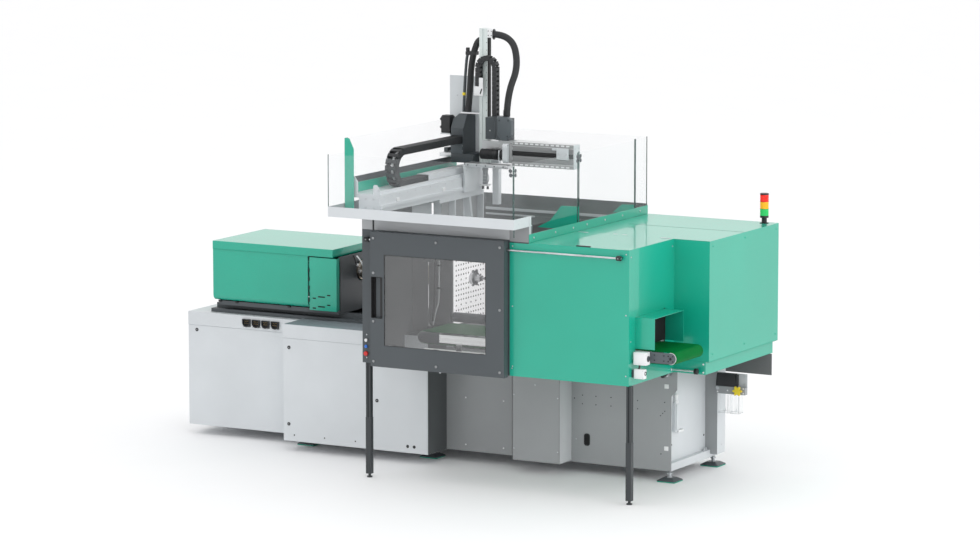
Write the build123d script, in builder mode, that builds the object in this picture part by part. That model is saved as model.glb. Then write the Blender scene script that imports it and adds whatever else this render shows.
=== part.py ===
from build123d import *
import os
from math import cos, radians, sin

# Injection moulding machine with a gantry robot and an outlet conveyor.
# Millimetres. +X runs from the injection end to the clamp end, +Y away from the operator, +Z up.
# The origin is on the floor, under the middle of the machine.

os.makedirs("parts", exist_ok=True)

# Driving dimensions: machine axis and sheet metal
AXIS_Y = 505
AXIS_Z = 1400
SHEET = 4
RUNNING_FIT = 0.06
SLIDE_GAP = 0.3

# Base frame and its cladding
BASE_FRONT = 95
BASE_BACK = 919
BASE_BOTTOM = 85
BASE_TOP = 1015
BASE_RIGHT = 1974
BASE_BEAM = 60
END_BAY_DEPTH = 45
BAY_POST_RIGHT = 2034
BAY_POST_FRONT = 777
BAY_POST_BOTTOM = 112
PANEL = 8
PANEL_SEAM_X = 575
PANEL_TOP = 905
NOTCH_REACH = 48
NOTCH_TOP = 727
NOTCH_BOTTOM = 673

# Cabinets
CABINET_LEFT = -2436
CABINET_SPLIT = -1352
CABINET_FRONT = 75
CABINET_BOTTOM = 80
CABINET_TOP = 1015
CABINET_BAND = 109
HYDRAULIC_RIGHT = -16
HYDRAULIC_FRONT = -213
HYDRAULIC_BOTTOM = 84
HYDRAULIC_TOP = 1028
LIFT_OFF_PANEL = 4
PANEL_MARGIN = 4
SOCKET_FIRST_X = -1870
SOCKET_PITCH = 90.7
SOCKET_WIDTH = 73
SOCKET_HEIGHT = 64
SOCKET_TOP = 989
SOCKET_PROUD = 15
SOCKET_DEPTH = 30
SOCKET_COUNT = 4

# Electrical box on the base front
BOX_LEFT = 689
BOX_RIGHT = 1105
BOX_BOTTOM = 95
BOX_TOP = 800
BOX_DEPTH = 200
BOX_LID = 4

# Levelling feet
FEET_X = (-1310, -167, 1945)
FOOT_INSET = 32
PAD_SIDE = 155
MAT_HEIGHT = 8
PAD_HEIGHT = 24
PAD_BEVEL = 34
SPINDLE_RADIUS = 14
NUT_RADIUS = 24
NUT_HEIGHT = 14

# Machine bed
BED_LEFT = -2250
BED_RIGHT = 1905
BED_MARGIN = 40
BED_THICKNESS = 30
RAIL_WIDTH = 45
RAIL_HEIGHT = 36
RAIL_SPREAD = 260
CLAMP_RAIL_HEIGHT = 12

# Front guard
GUARD_FRONT = -870
GUARD_BOTTOM = 905
GUARD_TOP = 1932
GUARD_LEFT = 1077
GUARD_RIGHT = 2094
GUARD_BACK = -118
GUARD_FLANGE = 70
FRAME_LEFT = -222
FRAME_POST = 92
FRAME_DEPTH = 60
FRAME_SILL = 60
HEADER_TOP = 2060
POST_SIDE = 46
PROFILE_SIDE = 40
PROFILE_GROOVE = 8
PROFILE_GROOVE_DEPTH = 7
SLEEVE_TOP = 474
POST_FOOT_HEIGHT = 30
POST_FOOT_RADIUS = 22
POST_LEFT_X = -176
POST_RIGHT_X = 2092

# Sliding door
DOOR_LEFT = -105
DOOR_RIGHT = 1069
DOOR_BOTTOM = 895
DOOR_TOP = 1945
DOOR_FRONT = -948
DOOR_DEPTH = 63
WINDOW_LEFT = 19
WINDOW_RIGHT = 910
WINDOW_BOTTOM = 1064
WINDOW_TOP = 1770
WINDOW_LAP = 14
WINDOW_THICKNESS = 6
GRIP_WIDTH = 105
GRIP_BOTTOM = 1274
GRIP_TOP = 1593
GRIP_DEPTH = 36

# Guide rods of the doors
ROD_RADIUS = 8
ROD_Y = -897
ROD_Z = 1874
ROD_LEFT = -145
ROD_RIGHT = 2000
ROD_HOLDER_LENGTH = 42
ROD_HOLDER_RADIUS = 19
RUNNER_LENGTH = 60
RUNNER_HEIGHT = 48
RUNNER_BACK = 8
ROD_HOLE_SPARE = 6
LOWER_ROD_Y = -158
LOWER_ROD_Z = 933
LOWER_ROD_RIGHT = 2292

# Push buttons on the door post: height, radius, how far each stands out
BUTTON_X = -186
BUTTON_STEM_RADIUS = 9
BUTTON_STEM = 22
BUTTON_TRAVEL = 4
BUTTON_CLEARANCE = 0.08
WHITE_BUTTON_Z = 1082
BLUE_BUTTON_Z = 1033
RED_BUTTON_Z = 977
FLAT_BUTTON_RADIUS = 13
FLAT_BUTTON_HEIGHT = 9
RED_BUTTON_RADIUS = 18
RED_BUTTON_HEIGHT = 14
BUTTON_STAND_OFF = 5

# Conveyor and its hood
CONVEYOR_FRONT = -760
CONVEYOR_BACK = -293
CONVEYOR_LEFT = 201
BELT_TOP = 1171
ROLLER_RADIUS = 45
BELT_THICKNESS = 4
BELT_GAP = 0.3
SIDE_PLATE = 8
SIDE_PLATE_LENGTH = 217
SIDE_PLATE_HEIGHT = 84
PROFILE_HEIGHT = 62
CONVEYOR_RIGHT = 2436
SHAFT_RADIUS = 12
BELT_SIDE_GAP = 3
HOOD_RIGHT = 2258
HOOD_FRONT = -767
HOOD_BACK = -278
HOOD_TOP = 1418
HOOD_BOTTOM = 1180
HOOD_SHEET = 3
OUTLET_BOTTOM = 1050
MOTOR_BOX_LEFT = 2098
MOTOR_BOX_LENGTH = 110
MOTOR_BOX_DEPTH = 72
MOTOR_BOX_HEIGHT = 98
SWITCH_BOX_WIDTH = 88
SWITCH_BOX_HEIGHT = 74
SWITCH_BOX_DEPTH = 45
SWITCH_BOX_BOTTOM = 955

# Clamp cover
COVER_LEFT = 1250
COVER_RIGHT = 2394
COVER_BACK = 1107
COVER_BOTTOM = 1007
SKIRT_INSET = 28
SKIRT_BACK = 1075
REAR_SKIRT_Y = 1022
REAR_SKIRT_BOTTOM = 735
REAR_SKIRT_LEFT = 1890
REAR_SKIRT_RIGHT = 2384
FLAP_LIP = 16
FLAP_GAP = 3

# Clamp unit
PLATEN_HALF = 350
FIXED_PLATEN_FACE = -26
FIXED_PLATEN_DEPTH = 190
MOVING_PLATEN_FACE = 624
MOVING_PLATEN_DEPTH = 160
PLATEN_CHAMFER = 30
TIE_BAR_RADIUS = 39
TIE_BAR_SPREAD = 275
TIE_BAR_FIXED_FIT = 0.4
TIE_NUT_RADIUS = 62
TIE_NUT_LENGTH = 48
CYLINDER_LEFT = 1350
CYLINDER_RIGHT = 1900
RAM_RADIUS = 110
RAM_END_GAP = 20
LOCATING_BORE = 62
EJECTOR_ROD_RADIUS = 20
EJECTOR_PLATE_RADIUS = 60
EJECTOR_PLATE = 20
EJECTOR_POCKET_RADIUS = 70
EJECTOR_WALL = 40
HUB_RADIUS = 48
HUB_LENGTH = 34
HUB_NOSE_RADIUS = 20
HUB_NOSE_LENGTH = 52

# Injection unit
UNIT_LEFT = -2208
UNIT_RIGHT = -1038
UNIT_FRONT = 102
UNIT_BACK = 908
UNIT_BOTTOM = 1120
UNIT_SEAM = 1543
UNIT_TOP = 1607
LID_RIGHT = -1071
UNIT_CORNER = 45
COVER_SHEET = 6
NOZZLE_GUARD_LEFT = -1292
NOZZLE_GUARD_GAP = 15
NOZZLE_GUARD_BOTTOM = 1105
NOZZLE_GUARD_TOP = 1534
HINGE_RADIUS = 7
HINGE_PIN_RADIUS = 3
HINGE_PIN = 15
HINGE_EAR = 8
HINGE_NOTCH = 12
UNIT_BASE_THICKNESS = 34
DRIVE_LEFT = -2120
DRIVE_RIGHT = -1560
DRIVE_HALF = 190
DRIVE_POCKET_RADIUS = 80
BARREL_RADIUS = 60
BARREL_BORE = 27
BARREL_RIGHT = -330
BAND_RADIUS = 78
BAND_LENGTH = 90
BAND_GAP = 24
BAND_COUNT = 7
NOZZLE_TIP = -214
NOZZLE_TIP_RADIUS = 18
SCREW_RADIUS = 25
SCREW_TIP_LENGTH = 60
SCREW_HUB_RADIUS = 60
SCREW_HUB_LENGTH = 70

# Deck over the mould area
LEDGE_FRONT = -1107
LEDGE_LEFT = -386
LEDGE_RIGHT = 1242
LEDGE_BOTTOM = 2060
LEDGE_TOP = 2138
DECK_BACK = 1104
REAR_WALL_TOP = 2014
REAR_WALL_BOTTOM = 1015
STRIP_TOP = 2000
PANE = 6
PANE_TOP = 2541
HIGH_PANE_TOP = 2640
PANE_SPLIT_Y = -66
CORNER_POST_WIDTH = 81
CORNER_POST_TOP = 2645
GUSSET_Y = -62
REAR_GUSSET_Y = 897

# Robot: cross beam, tray and pedestal
BEAM_LEFT = -262
BEAM_RIGHT = -75
BEAM_NEAR = -843
BEAM_FAR = 797
BEAM_BOTTOM = 2075
BEAM_TOP = 2213
TRAY_LEFT = -321
TRAY_WALL_TOP = 2345
TRAY_SHEET = 4
TRAY_FLOOR_RIGHT = -133
TRAY_FAR = 790
GUIDE_RAIL = 24
PEDESTAL_NEAR = 86
PEDESTAL_FAR = 803
PEDESTAL_FLANGE = 30
PEDESTAL_WEB_LEFT = -200
PEDESTAL_WEB_RIGHT = -130

# Robot: cross energy chain
CHAIN_LEFT = -240
CHAIN_RIGHT = -144
CHAIN_THICKNESS = 55
CHAIN_BEND_OUTER = 155
CHAIN_BEND_Y = -333
CHAIN_BOTTOM = BEAM_TOP + TRAY_SHEET + SLIDE_GAP
CHAIN_UPPER_END = 700
CHAIN_LOWER_END = 552
CHAIN_PITCH = 46
CHAIN_GAP = 16
TRUNK_NEAR = 22
TRUNK_CLEARANCE = 3

# Robot: carriage and lengthwise beam
CARRIAGE_FRONT = 570
CARRIAGE_BACK = 770
CARRIAGE_TOP = 2386
CARRIAGE_BOTTOM = 2315
CARRIAGE_LEFT = -352
CARRIAGE_BACK_LEFT = -368
BACK_PLATE = 8
BACK_PLATE_TOP = 2990
BACK_PLATE_RIGHT = 0
DUCT_RIGHT = 108
DUCT_WIDTH = 56
DUCT_BOTTOM = 1977
CARRIAGE_SIDE_RIGHT = -46
CARRIAGE_SIDE_LEFT = -62
CARRIAGE_SIDE_BOTTOM = 2095
LEFT_COVER_LEFT = -246
LEFT_COVER_RIGHT = -133
LEFT_COVER_TOP = 2699
CONSOLE_RIGHT = 345
CONSOLE_TOP = 2334
CONSOLE_BOTTOM = 2304
XBEAM_LEFT = 300
XBEAM_RIGHT = 934
XBEAM_FRONT = 440
XBEAM_BACK = 540
XBEAM_TOP = 2527
XBEAM_CAP = 70
MOTOR_LEFT = 76
MOTOR_SIDE = 85
MOTOR_BOTTOM = 2366
LIFT_MOTOR_SIDE = 90
LIFT_MOTOR_TOP = 2685
LIFT_MOTOR_BOTTOM = 2533

# Robot: slide, column, wrist
SADDLE_LEFT = 200
SADDLE_RIGHT = 640
SADDLE_THICKNESS = 12
SADDLE_GAP = 9
HOUSING_LEFT = 124
HOUSING_RIGHT = 347
HOUSING_STEP = 90
HOUSING_RECESS = 30
HOUSING_BACK = 640
BULGE_BACK = 540
HOUSING_SHEET = 3
STAY = 30
HOUSING_BOTTOM = 2530
HOUSING_TOP = 2703
COLUMN_LEFT = -20
COLUMN_WIDTH = 70
COLUMN_DEPTH = 70
COLUMN_FRONT = 630
HEAD_RIGHT = 121
HEAD_SHEET = 12
HOSE_ARM_LEFT = -42
HOSE_ARM_WIDTH = 20
HOSE_ARM_END = -196
HOSE_ARM_TOP = 2715
CLAMP_ARM_Z = 3190
COLUMN_BOTTOM = 2310
COLUMN_TOP = 3391
ZCHAIN_CENTRE = 73
ZCHAIN_OUTER = 96
ZCHAIN_THICKNESS = 40
ZCHAIN_FRONT = 566
ZCHAIN_WIDTH = 54
ZCHAIN_TOP = 3180
ZCHAIN_LEFT_END = 2925
ZCHAIN_TAIL_END = 2612
ZCHAIN_RIGHT_END = 2680
ZCHAIN_PITCH = 38
WRIST_PIN_Z = 2262
WRIST_PIN_RADIUS = 9
CHEEK = 12
CUP_PLATE_HALF = 34
GRIPPER_BOTTOM = 2103
HOSE_RADIUS = 25
LEFT_HOSE_RADIUS = 21
THIN_HOSE_RADIUS = 6
THICK_HOSE_X = -130
THIN_HOSE_X = -170
CLAMP_ARM_LEFT = -184
HOSE_Y = 665
RIGHT_HOSE_X = 305
RIGHT_HOSE_Y = 490
LEFT_HOSE_TOP = 3310

# Tower light
TOWER_X = 2300
TOWER_Y = 1040
TOWER_RADIUS = 35
TOWER_NECK_RADIUS = 21
TOWER_NECK_TOP = 1972
TOWER_FOOT_TOP = 1992
LENS_HEIGHT = 54
LENS_GAP = 1
LENS_COUNT = 3
TOWER_CAP = 12

# Service unit
SERVICE_LEFT = 2036
SERVICE_RIGHT = 2213
SERVICE_FRONT = 737
SERVICE_BACK = 777
SERVICE_TOP = 770
SERVICE_BOTTOM = 668
BRACKET_BOTTOM = 609
BRACKET_RIGHT = 2290
BOWL_BOTTOM = 460
BOWL_FLOOR = 5
BOWL_WALL = 4
KNOB_Z = 641
KNOB_X = 2232
KNOB_RADIUS = 30
KNOB_DEPTH = 26


# Shapes that repeat
def block(x, y, z, mode=Mode.ADD):
    """A straight-sided piece between two limits along each axis."""
    with Locations(((x[0] + x[1]) / 2, (y[0] + y[1]) / 2, (z[0] + z[1]) / 2)):
        Box(x[1] - x[0], y[1] - y[0], z[1] - z[0], mode=mode)


def outline(plane, points, depth, mode=Mode.ADD):
    """A flat outline of straight edges, given its depth along the plane's normal."""
    with BuildSketch(plane) as face:
        with BuildLine():
            Polyline(*points, close=True)
        make_face()
    extrude(face.sketch, amount=depth, mode=mode)


def rod(plane, centre, radius, length, mode=Mode.ADD):
    """A round bar from the plane along its normal."""
    with BuildSketch(plane) as face:
        with Locations(centre):
            Circle(radius)
    extrude(face.sketch, amount=length, mode=mode)


def tube(points, radii, radius):
    """A hose of round section along straight runs and tangent arcs."""
    with BuildLine() as path:
        FilletPolyline(*points, radius=radii)
    with BuildSketch(Plane(origin=path.wire() @ 0, z_dir=path.wire() % 0)) as section:
        Circle(radius)
    sweep(section.sketch, path=path.wire())


def front_plane(y):
    """Local X and Z, looking along +Y; its normal points to the operator."""
    return Plane.XZ.offset(-y)


def end_plane(x):
    """Local Y and Z, with its normal along +X."""
    return Plane.YZ.offset(x)


# Welded base frame: side and cross members, end wall and the post of the end bay
END_WALL_X = BASE_RIGHT - END_BAY_DEPTH
POCKETS_X = ((-1290, -700), (-640, -80), (40, 900), (980, 1860))
with BuildPart() as base_frame:
    block((CABINET_SPLIT, END_WALL_X), (BASE_FRONT, BASE_BACK), (BASE_BOTTOM, BASE_TOP))
    for pocket in POCKETS_X:
        block(pocket, (BASE_FRONT, BASE_BACK), (BASE_BOTTOM + BASE_BEAM, BASE_TOP - BASE_BEAM), Mode.SUBTRACT)
        inner_y = (BASE_FRONT + BASE_BEAM, BASE_BACK - BASE_BEAM)
        block(pocket, inner_y, (BASE_BOTTOM, BASE_TOP - BASE_BEAM), Mode.SUBTRACT)
    block((END_WALL_X, BASE_RIGHT), (BASE_FRONT, BASE_BACK), (BASE_BOTTOM, BASE_BOTTOM + BASE_BEAM))
    block((END_WALL_X, BAY_POST_RIGHT), (BAY_POST_FRONT, BASE_BACK), (BAY_POST_BOTTOM, PANEL_TOP))
base_frame.part.label = "base_frame"
export_step(base_frame.part, "parts/base_frame.step")

# Base panels, front and rear, and the electrical box that stands on the front
PANEL_FACE = BASE_FRONT - PANEL
with BuildPart() as base_panels:
    outline(
        front_plane(BASE_FRONT),
        [
            (PANEL_SEAM_X + PANEL_MARGIN, BASE_BOTTOM),
            (BASE_RIGHT, BASE_BOTTOM),
            (BASE_RIGHT, NOTCH_BOTTOM),
            (BASE_RIGHT + NOTCH_REACH, NOTCH_TOP),
            (BASE_RIGHT + NOTCH_REACH, PANEL_TOP),
            (PANEL_SEAM_X + PANEL_MARGIN, PANEL_TOP),
        ],
        PANEL,
    )
    block((HYDRAULIC_RIGHT, PANEL_SEAM_X), (PANEL_FACE, BASE_FRONT), (BASE_BOTTOM, PANEL_TOP))
    block((CABINET_SPLIT, END_WALL_X), (BASE_BACK, BASE_BACK + PANEL), (BASE_BOTTOM, PANEL_TOP))
    block((BOX_LEFT, BOX_RIGHT), (PANEL_FACE - BOX_DEPTH + BOX_LID, PANEL_FACE), (BOX_BOTTOM, BOX_TOP))
    block(
        (BOX_LEFT + PANEL_MARGIN, BOX_RIGHT - PANEL_MARGIN),
        (PANEL_FACE - BOX_DEPTH, PANEL_FACE - BOX_DEPTH + BOX_LID),
        (BOX_BOTTOM + PANEL_MARGIN, BOX_TOP - PANEL_MARGIN),
    )
base_panels.part.label = "base_panels"
export_step(base_panels.part, "parts/base_panels.step")

# Control cabinet: its top band stands flush with the lift-off panel below it
BAND_BOTTOM = CABINET_TOP - CABINET_BAND
with BuildPart() as control_cabinet:
    outline(
        end_plane(CABINET_LEFT),
        [
            (CABINET_FRONT + LIFT_OFF_PANEL, CABINET_BOTTOM),
            (BASE_BACK, CABINET_BOTTOM),
            (BASE_BACK, CABINET_TOP),
            (CABINET_FRONT, CABINET_TOP),
            (CABINET_FRONT, BAND_BOTTOM),
            (CABINET_FRONT + LIFT_OFF_PANEL, BAND_BOTTOM),
        ],
        CABINET_SPLIT - CABINET_LEFT,
    )
    fillet(control_cabinet.edges().filter_by(Axis.Y).group_by(Axis.Z)[-1].sort_by(Axis.X)[0], 6)
    for number in range(SOCKET_COUNT):
        socket_x = SOCKET_FIRST_X + number * SOCKET_PITCH
        block(
            (socket_x - SOCKET_WIDTH / 2, socket_x + SOCKET_WIDTH / 2),
            (CABINET_FRONT, CABINET_FRONT + SOCKET_DEPTH),
            (SOCKET_TOP - SOCKET_HEIGHT, SOCKET_TOP),
            Mode.SUBTRACT,
        )
control_cabinet.part.label = "control_cabinet"
export_step(control_cabinet.part, "parts/control_cabinet.step")

# Hydraulic cabinet in front of the base
with BuildPart() as hydraulic_cabinet:
    outline(
        end_plane(CABINET_SPLIT),
        [
            (HYDRAULIC_FRONT + LIFT_OFF_PANEL, HYDRAULIC_BOTTOM),
            (BASE_FRONT, HYDRAULIC_BOTTOM),
            (BASE_FRONT, HYDRAULIC_TOP),
            (HYDRAULIC_FRONT, HYDRAULIC_TOP),
            (HYDRAULIC_FRONT, HYDRAULIC_TOP - CABINET_BAND),
            (HYDRAULIC_FRONT + LIFT_OFF_PANEL, HYDRAULIC_TOP - CABINET_BAND),
        ],
        HYDRAULIC_RIGHT - CABINET_SPLIT,
    )
hydraulic_cabinet.part.label = "hydraulic_cabinet"
export_step(hydraulic_cabinet.part, "parts/hydraulic_cabinet.step")

# Lift-off panels of both cabinets
with BuildPart() as cabinet_panels:
    block(
        (CABINET_LEFT + PANEL_MARGIN, CABINET_SPLIT - PANEL_MARGIN),
        (CABINET_FRONT, CABINET_FRONT + LIFT_OFF_PANEL),
        (CABINET_BOTTOM, BAND_BOTTOM - PANEL_MARGIN),
    )
    block(
        (CABINET_SPLIT + PANEL_MARGIN, HYDRAULIC_RIGHT - PANEL_MARGIN),
        (HYDRAULIC_FRONT, HYDRAULIC_FRONT + LIFT_OFF_PANEL),
        (HYDRAULIC_BOTTOM, HYDRAULIC_TOP - CABINET_BAND - PANEL_MARGIN),
    )
cabinet_panels.part.label = "cabinet_panels"
export_step(cabinet_panels.part, "parts/cabinet_panels.step")

# Connector sockets: flat above, rounded below
with BuildPart() as connector_sockets:
    for number in range(SOCKET_COUNT):
        socket_x = SOCKET_FIRST_X + number * SOCKET_PITCH
        socket_z = SOCKET_TOP - SOCKET_HEIGHT / 2
        with BuildSketch(front_plane(CABINET_FRONT + SOCKET_DEPTH)) as socket_face:
            with Locations((socket_x, socket_z)):
                Rectangle(SOCKET_WIDTH - 2, SOCKET_HEIGHT - 2)
            fillet(socket_face.vertices().group_by(Axis.Y)[0], SOCKET_HEIGHT * 0.42)
        extrude(amount=SOCKET_DEPTH + SOCKET_PROUD)
connector_sockets.part.label = "connector_sockets"
export_step(connector_sockets.part, "parts/connector_sockets.step")

# Levelling feet: rubber mat, bevelled pad, spindle with its nut
FEET_Y = (BASE_FRONT + FOOT_INSET, BASE_BACK - FOOT_INSET)
with BuildPart() as levelling_feet:
    for foot_x in FEET_X:
        for foot_y in FEET_Y:
            with BuildSketch(Plane.XY):
                with Locations((foot_x, foot_y)):
                    Rectangle(PAD_SIDE, PAD_SIDE)
            extrude(amount=MAT_HEIGHT)
with BuildPart() as foot_pads:
    for foot_x in FEET_X:
        for foot_y in FEET_Y:
            with BuildSketch(Plane.XY.offset(MAT_HEIGHT)) as pad_base:
                with Locations((foot_x, foot_y)):
                    Rectangle(PAD_SIDE, PAD_SIDE)
            with BuildSketch(Plane.XY.offset(MAT_HEIGHT + PAD_HEIGHT)) as pad_top:
                with Locations((foot_x, foot_y)):
                    Rectangle(PAD_SIDE - 2 * PAD_BEVEL, PAD_SIDE - 2 * PAD_BEVEL)
            loft([pad_base.sketch, pad_top.sketch])
with BuildPart() as foot_spindles:
    for foot_x in FEET_X:
        for foot_y in FEET_Y:
            spindle_foot = MAT_HEIGHT + PAD_HEIGHT
            rod(Plane.XY.offset(spindle_foot), (foot_x, foot_y), SPINDLE_RADIUS, BASE_BOTTOM - spindle_foot)
            with BuildSketch(Plane.XY.offset(BASE_BOTTOM - 2 * NUT_HEIGHT)):
                with Locations((foot_x, foot_y)):
                    RegularPolygon(NUT_RADIUS, 6)
            extrude(amount=NUT_HEIGHT)
foot_solids = [*levelling_feet.part.solids(), *foot_pads.part.solids(), *foot_spindles.part.solids()]
feet = Compound(children=foot_solids)
feet.label = "levelling_feet"
export_step(feet, "parts/levelling_feet.step")

# Machine bed with the rails of the injection unit and of the moving platen
BED_TOP = BASE_TOP + BED_THICKNESS
with BuildPart() as machine_bed:
    block((BED_LEFT, BED_RIGHT), (BASE_FRONT + BED_MARGIN, BASE_BACK - BED_MARGIN), (BASE_TOP, BED_TOP))
    for side in (-1, 1):
        rail_y = AXIS_Y + side * RAIL_SPREAD
        rail_span = (rail_y - RAIL_WIDTH / 2, rail_y + RAIL_WIDTH / 2)
        block((BED_LEFT, UNIT_RIGHT + 300), rail_span, (BED_TOP, BED_TOP + RAIL_HEIGHT))
        block((FIXED_PLATEN_FACE, CYLINDER_LEFT), rail_span, (BED_TOP, BED_TOP + CLAMP_RAIL_HEIGHT))
machine_bed.part.label = "machine_bed"
export_step(machine_bed.part, "parts/machine_bed.step")

# Guard posts: a square sleeve, a grooved profile above it and a round foot below
with BuildPart() as guard_posts:
    for post_x in (POST_LEFT_X, POST_RIGHT_X):
        post_y = GUARD_FRONT + POST_SIDE / 2
        with BuildSketch(Plane.XY.offset(POST_FOOT_HEIGHT)):
            with Locations((post_x, post_y)):
                RectangleRounded(POST_SIDE, POST_SIDE, 4)
        extrude(amount=SLEEVE_TOP - POST_FOOT_HEIGHT)
        with BuildSketch(Plane.XY.offset(SLEEVE_TOP)):
            with Locations((post_x, post_y)):
                Rectangle(PROFILE_SIDE, PROFILE_SIDE)
                groove_middle = (PROFILE_SIDE - PROFILE_GROOVE_DEPTH) / 2
                with PolarLocations(groove_middle, 4):
                    Rectangle(PROFILE_GROOVE_DEPTH, PROFILE_GROOVE, mode=Mode.SUBTRACT)
        extrude(amount=GUARD_BOTTOM - SLEEVE_TOP)
        rod(Plane.XY, (post_x, post_y), POST_FOOT_RADIUS, POST_FOOT_HEIGHT / 3)
        stem_foot = POST_FOOT_HEIGHT / 3
        rod(Plane.XY.offset(stem_foot), (post_x, post_y), POST_FOOT_RADIUS / 2, POST_FOOT_HEIGHT - stem_foot)
guard_posts.part.label = "guard_posts"
export_step(guard_posts.part, "parts/guard_posts.step")

# Door frame: left post with the buttons, sill, right jamb and the header under the deck
FRAME_BACK = GUARD_FRONT + FRAME_DEPTH
with BuildPart() as door_frame:
    outline(
        front_plane(FRAME_BACK),
        [
            (FRAME_LEFT, GUARD_BOTTOM),
            (GUARD_LEFT, GUARD_BOTTOM),
            (GUARD_LEFT, GUARD_TOP),
            (LEDGE_RIGHT, GUARD_TOP),
            (LEDGE_RIGHT, HEADER_TOP),
            (FRAME_LEFT, HEADER_TOP),
        ],
        FRAME_DEPTH,
    )
    frame_opening_x = (FRAME_LEFT + FRAME_POST, GUARD_LEFT - FRAME_SILL)
    frame_span_y = (GUARD_FRONT, FRAME_BACK)
    block(frame_opening_x, frame_span_y, (GUARD_BOTTOM + FRAME_SILL, GUARD_TOP), Mode.SUBTRACT)
    for button_z in (WHITE_BUTTON_Z, BLUE_BUTTON_Z, RED_BUTTON_Z):
        bore = BUTTON_STEM_RADIUS + BUTTON_CLEARANCE
        rod(front_plane(GUARD_FRONT), (BUTTON_X, button_z), bore, -BUTTON_STEM - BUTTON_TRAVEL, Mode.SUBTRACT)
door_frame.part.label = "door_frame"
export_step(door_frame.part, "parts/door_frame.step")

# Push buttons: two flat ones and the emergency stop, each on a round stem
BUTTON_SHAPES = {
    "white_button": (WHITE_BUTTON_Z, FLAT_BUTTON_RADIUS, FLAT_BUTTON_HEIGHT),
    "blue_button": (BLUE_BUTTON_Z, FLAT_BUTTON_RADIUS, FLAT_BUTTON_HEIGHT),
    "red_button": (RED_BUTTON_Z, RED_BUTTON_RADIUS, RED_BUTTON_HEIGHT),
}
for label, (button_z, button_radius, button_height) in BUTTON_SHAPES.items():
    with BuildPart() as button:
        head_back = GUARD_FRONT - BUTTON_STAND_OFF
        rod(front_plane(GUARD_FRONT + BUTTON_STEM), (BUTTON_X, button_z), BUTTON_STEM_RADIUS, BUTTON_STEM + 6)
        rod(front_plane(head_back), (BUTTON_X, button_z), button_radius, button_height)
        fillet(button.faces().sort_by(Axis.Y)[0].edges(), button_height * 0.35)
    button.part.label = label
    export_step(button.part, f"parts/{label}.step")

# Guide rods of the front door and of the rear slide
with BuildPart() as guide_rods:
    rod(end_plane(ROD_LEFT), (ROD_Y, ROD_Z), ROD_RADIUS, ROD_RIGHT - ROD_LEFT)
    rod(end_plane(GUARD_RIGHT), (LOWER_ROD_Y, LOWER_ROD_Z), ROD_RADIUS, LOWER_ROD_RIGHT - GUARD_RIGHT)
# Black holders that carry the upper rod, and the buffer on the lower one
with BuildPart() as rod_holders:
    for holder_left in (ROD_LEFT - ROD_HOLDER_LENGTH, ROD_RIGHT):
        rod(end_plane(holder_left), (ROD_Y, ROD_Z), ROD_HOLDER_RADIUS, ROD_HOLDER_LENGTH)
        block(
            (holder_left, holder_left + ROD_HOLDER_LENGTH),
            (ROD_Y, GUARD_FRONT),
            (ROD_Z - ROD_RADIUS, ROD_Z + ROD_RADIUS),
        )
    rod(end_plane(LOWER_ROD_RIGHT), (LOWER_ROD_Y, LOWER_ROD_Z), ROD_HOLDER_RADIUS, ROD_HOLDER_LENGTH * 0.7)
rod_assembly = Compound(children=[*guide_rods.part.solids(), *rod_holders.part.solids()])
rod_assembly.label = "guide_rods"
export_step(rod_assembly, "parts/guide_rods.step")

# Sliding door: a folded tray with a window, a recessed grip and two runners on the rod
DOOR_BACK = DOOR_FRONT + DOOR_DEPTH
with BuildPart() as sliding_door:
    block((DOOR_LEFT, DOOR_RIGHT), (DOOR_FRONT, DOOR_BACK), (DOOR_BOTTOM, DOOR_TOP))
    block(
        (DOOR_LEFT + SHEET, DOOR_RIGHT - SHEET),
        (DOOR_FRONT + SHEET, DOOR_BACK),
        (DOOR_BOTTOM + SHEET, DOOR_TOP - SHEET),
        Mode.SUBTRACT,
    )
    window_depth = (DOOR_FRONT, DOOR_FRONT + SHEET)
    block((WINDOW_LEFT, WINDOW_RIGHT), window_depth, (WINDOW_BOTTOM, WINDOW_TOP), Mode.SUBTRACT)
    grip_right = DOOR_LEFT + GRIP_WIDTH
    block(
        (DOOR_LEFT, grip_right + SHEET),
        (DOOR_FRONT, DOOR_FRONT + GRIP_DEPTH + SHEET),
        (GRIP_BOTTOM - SHEET, GRIP_TOP + SHEET),
    )
    block(
        (DOOR_LEFT + 2 * SHEET, grip_right),
        (DOOR_FRONT, DOOR_FRONT + GRIP_DEPTH),
        (GRIP_BOTTOM, GRIP_TOP),
        Mode.SUBTRACT,
    )
    for runner_left in (DOOR_LEFT + 130, DOOR_RIGHT - 190):
        block(
            (runner_left, runner_left + RUNNER_LENGTH),
            (DOOR_FRONT + SHEET, ROD_Y + ROD_RADIUS + RUNNER_BACK - ROD_RADIUS / 2),
            (ROD_Z - RUNNER_HEIGHT / 2, ROD_Z + RUNNER_HEIGHT / 2),
        )
        rod(end_plane(runner_left), (ROD_Y, ROD_Z), ROD_RADIUS + RUNNING_FIT, RUNNER_LENGTH, Mode.SUBTRACT)
    for wall_x in (DOOR_LEFT, DOOR_RIGHT - SHEET):
        rod(end_plane(wall_x), (ROD_Y, ROD_Z), ROD_RADIUS + ROD_HOLE_SPARE, SHEET, Mode.SUBTRACT)
sliding_door.part.label = "sliding_door"
export_step(sliding_door.part, "parts/sliding_door.step")

# Window of the sliding door, held behind the sheet
with BuildPart() as door_window:
    block(
        (WINDOW_LEFT - WINDOW_LAP, WINDOW_RIGHT + WINDOW_LAP),
        (DOOR_FRONT + SHEET, DOOR_FRONT + SHEET + WINDOW_THICKNESS),
        (WINDOW_BOTTOM - WINDOW_LAP, WINDOW_TOP + WINDOW_LAP),
    )
door_window.part.label = "door_window"
export_step(door_window.part, "parts/door_window.step")

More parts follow.
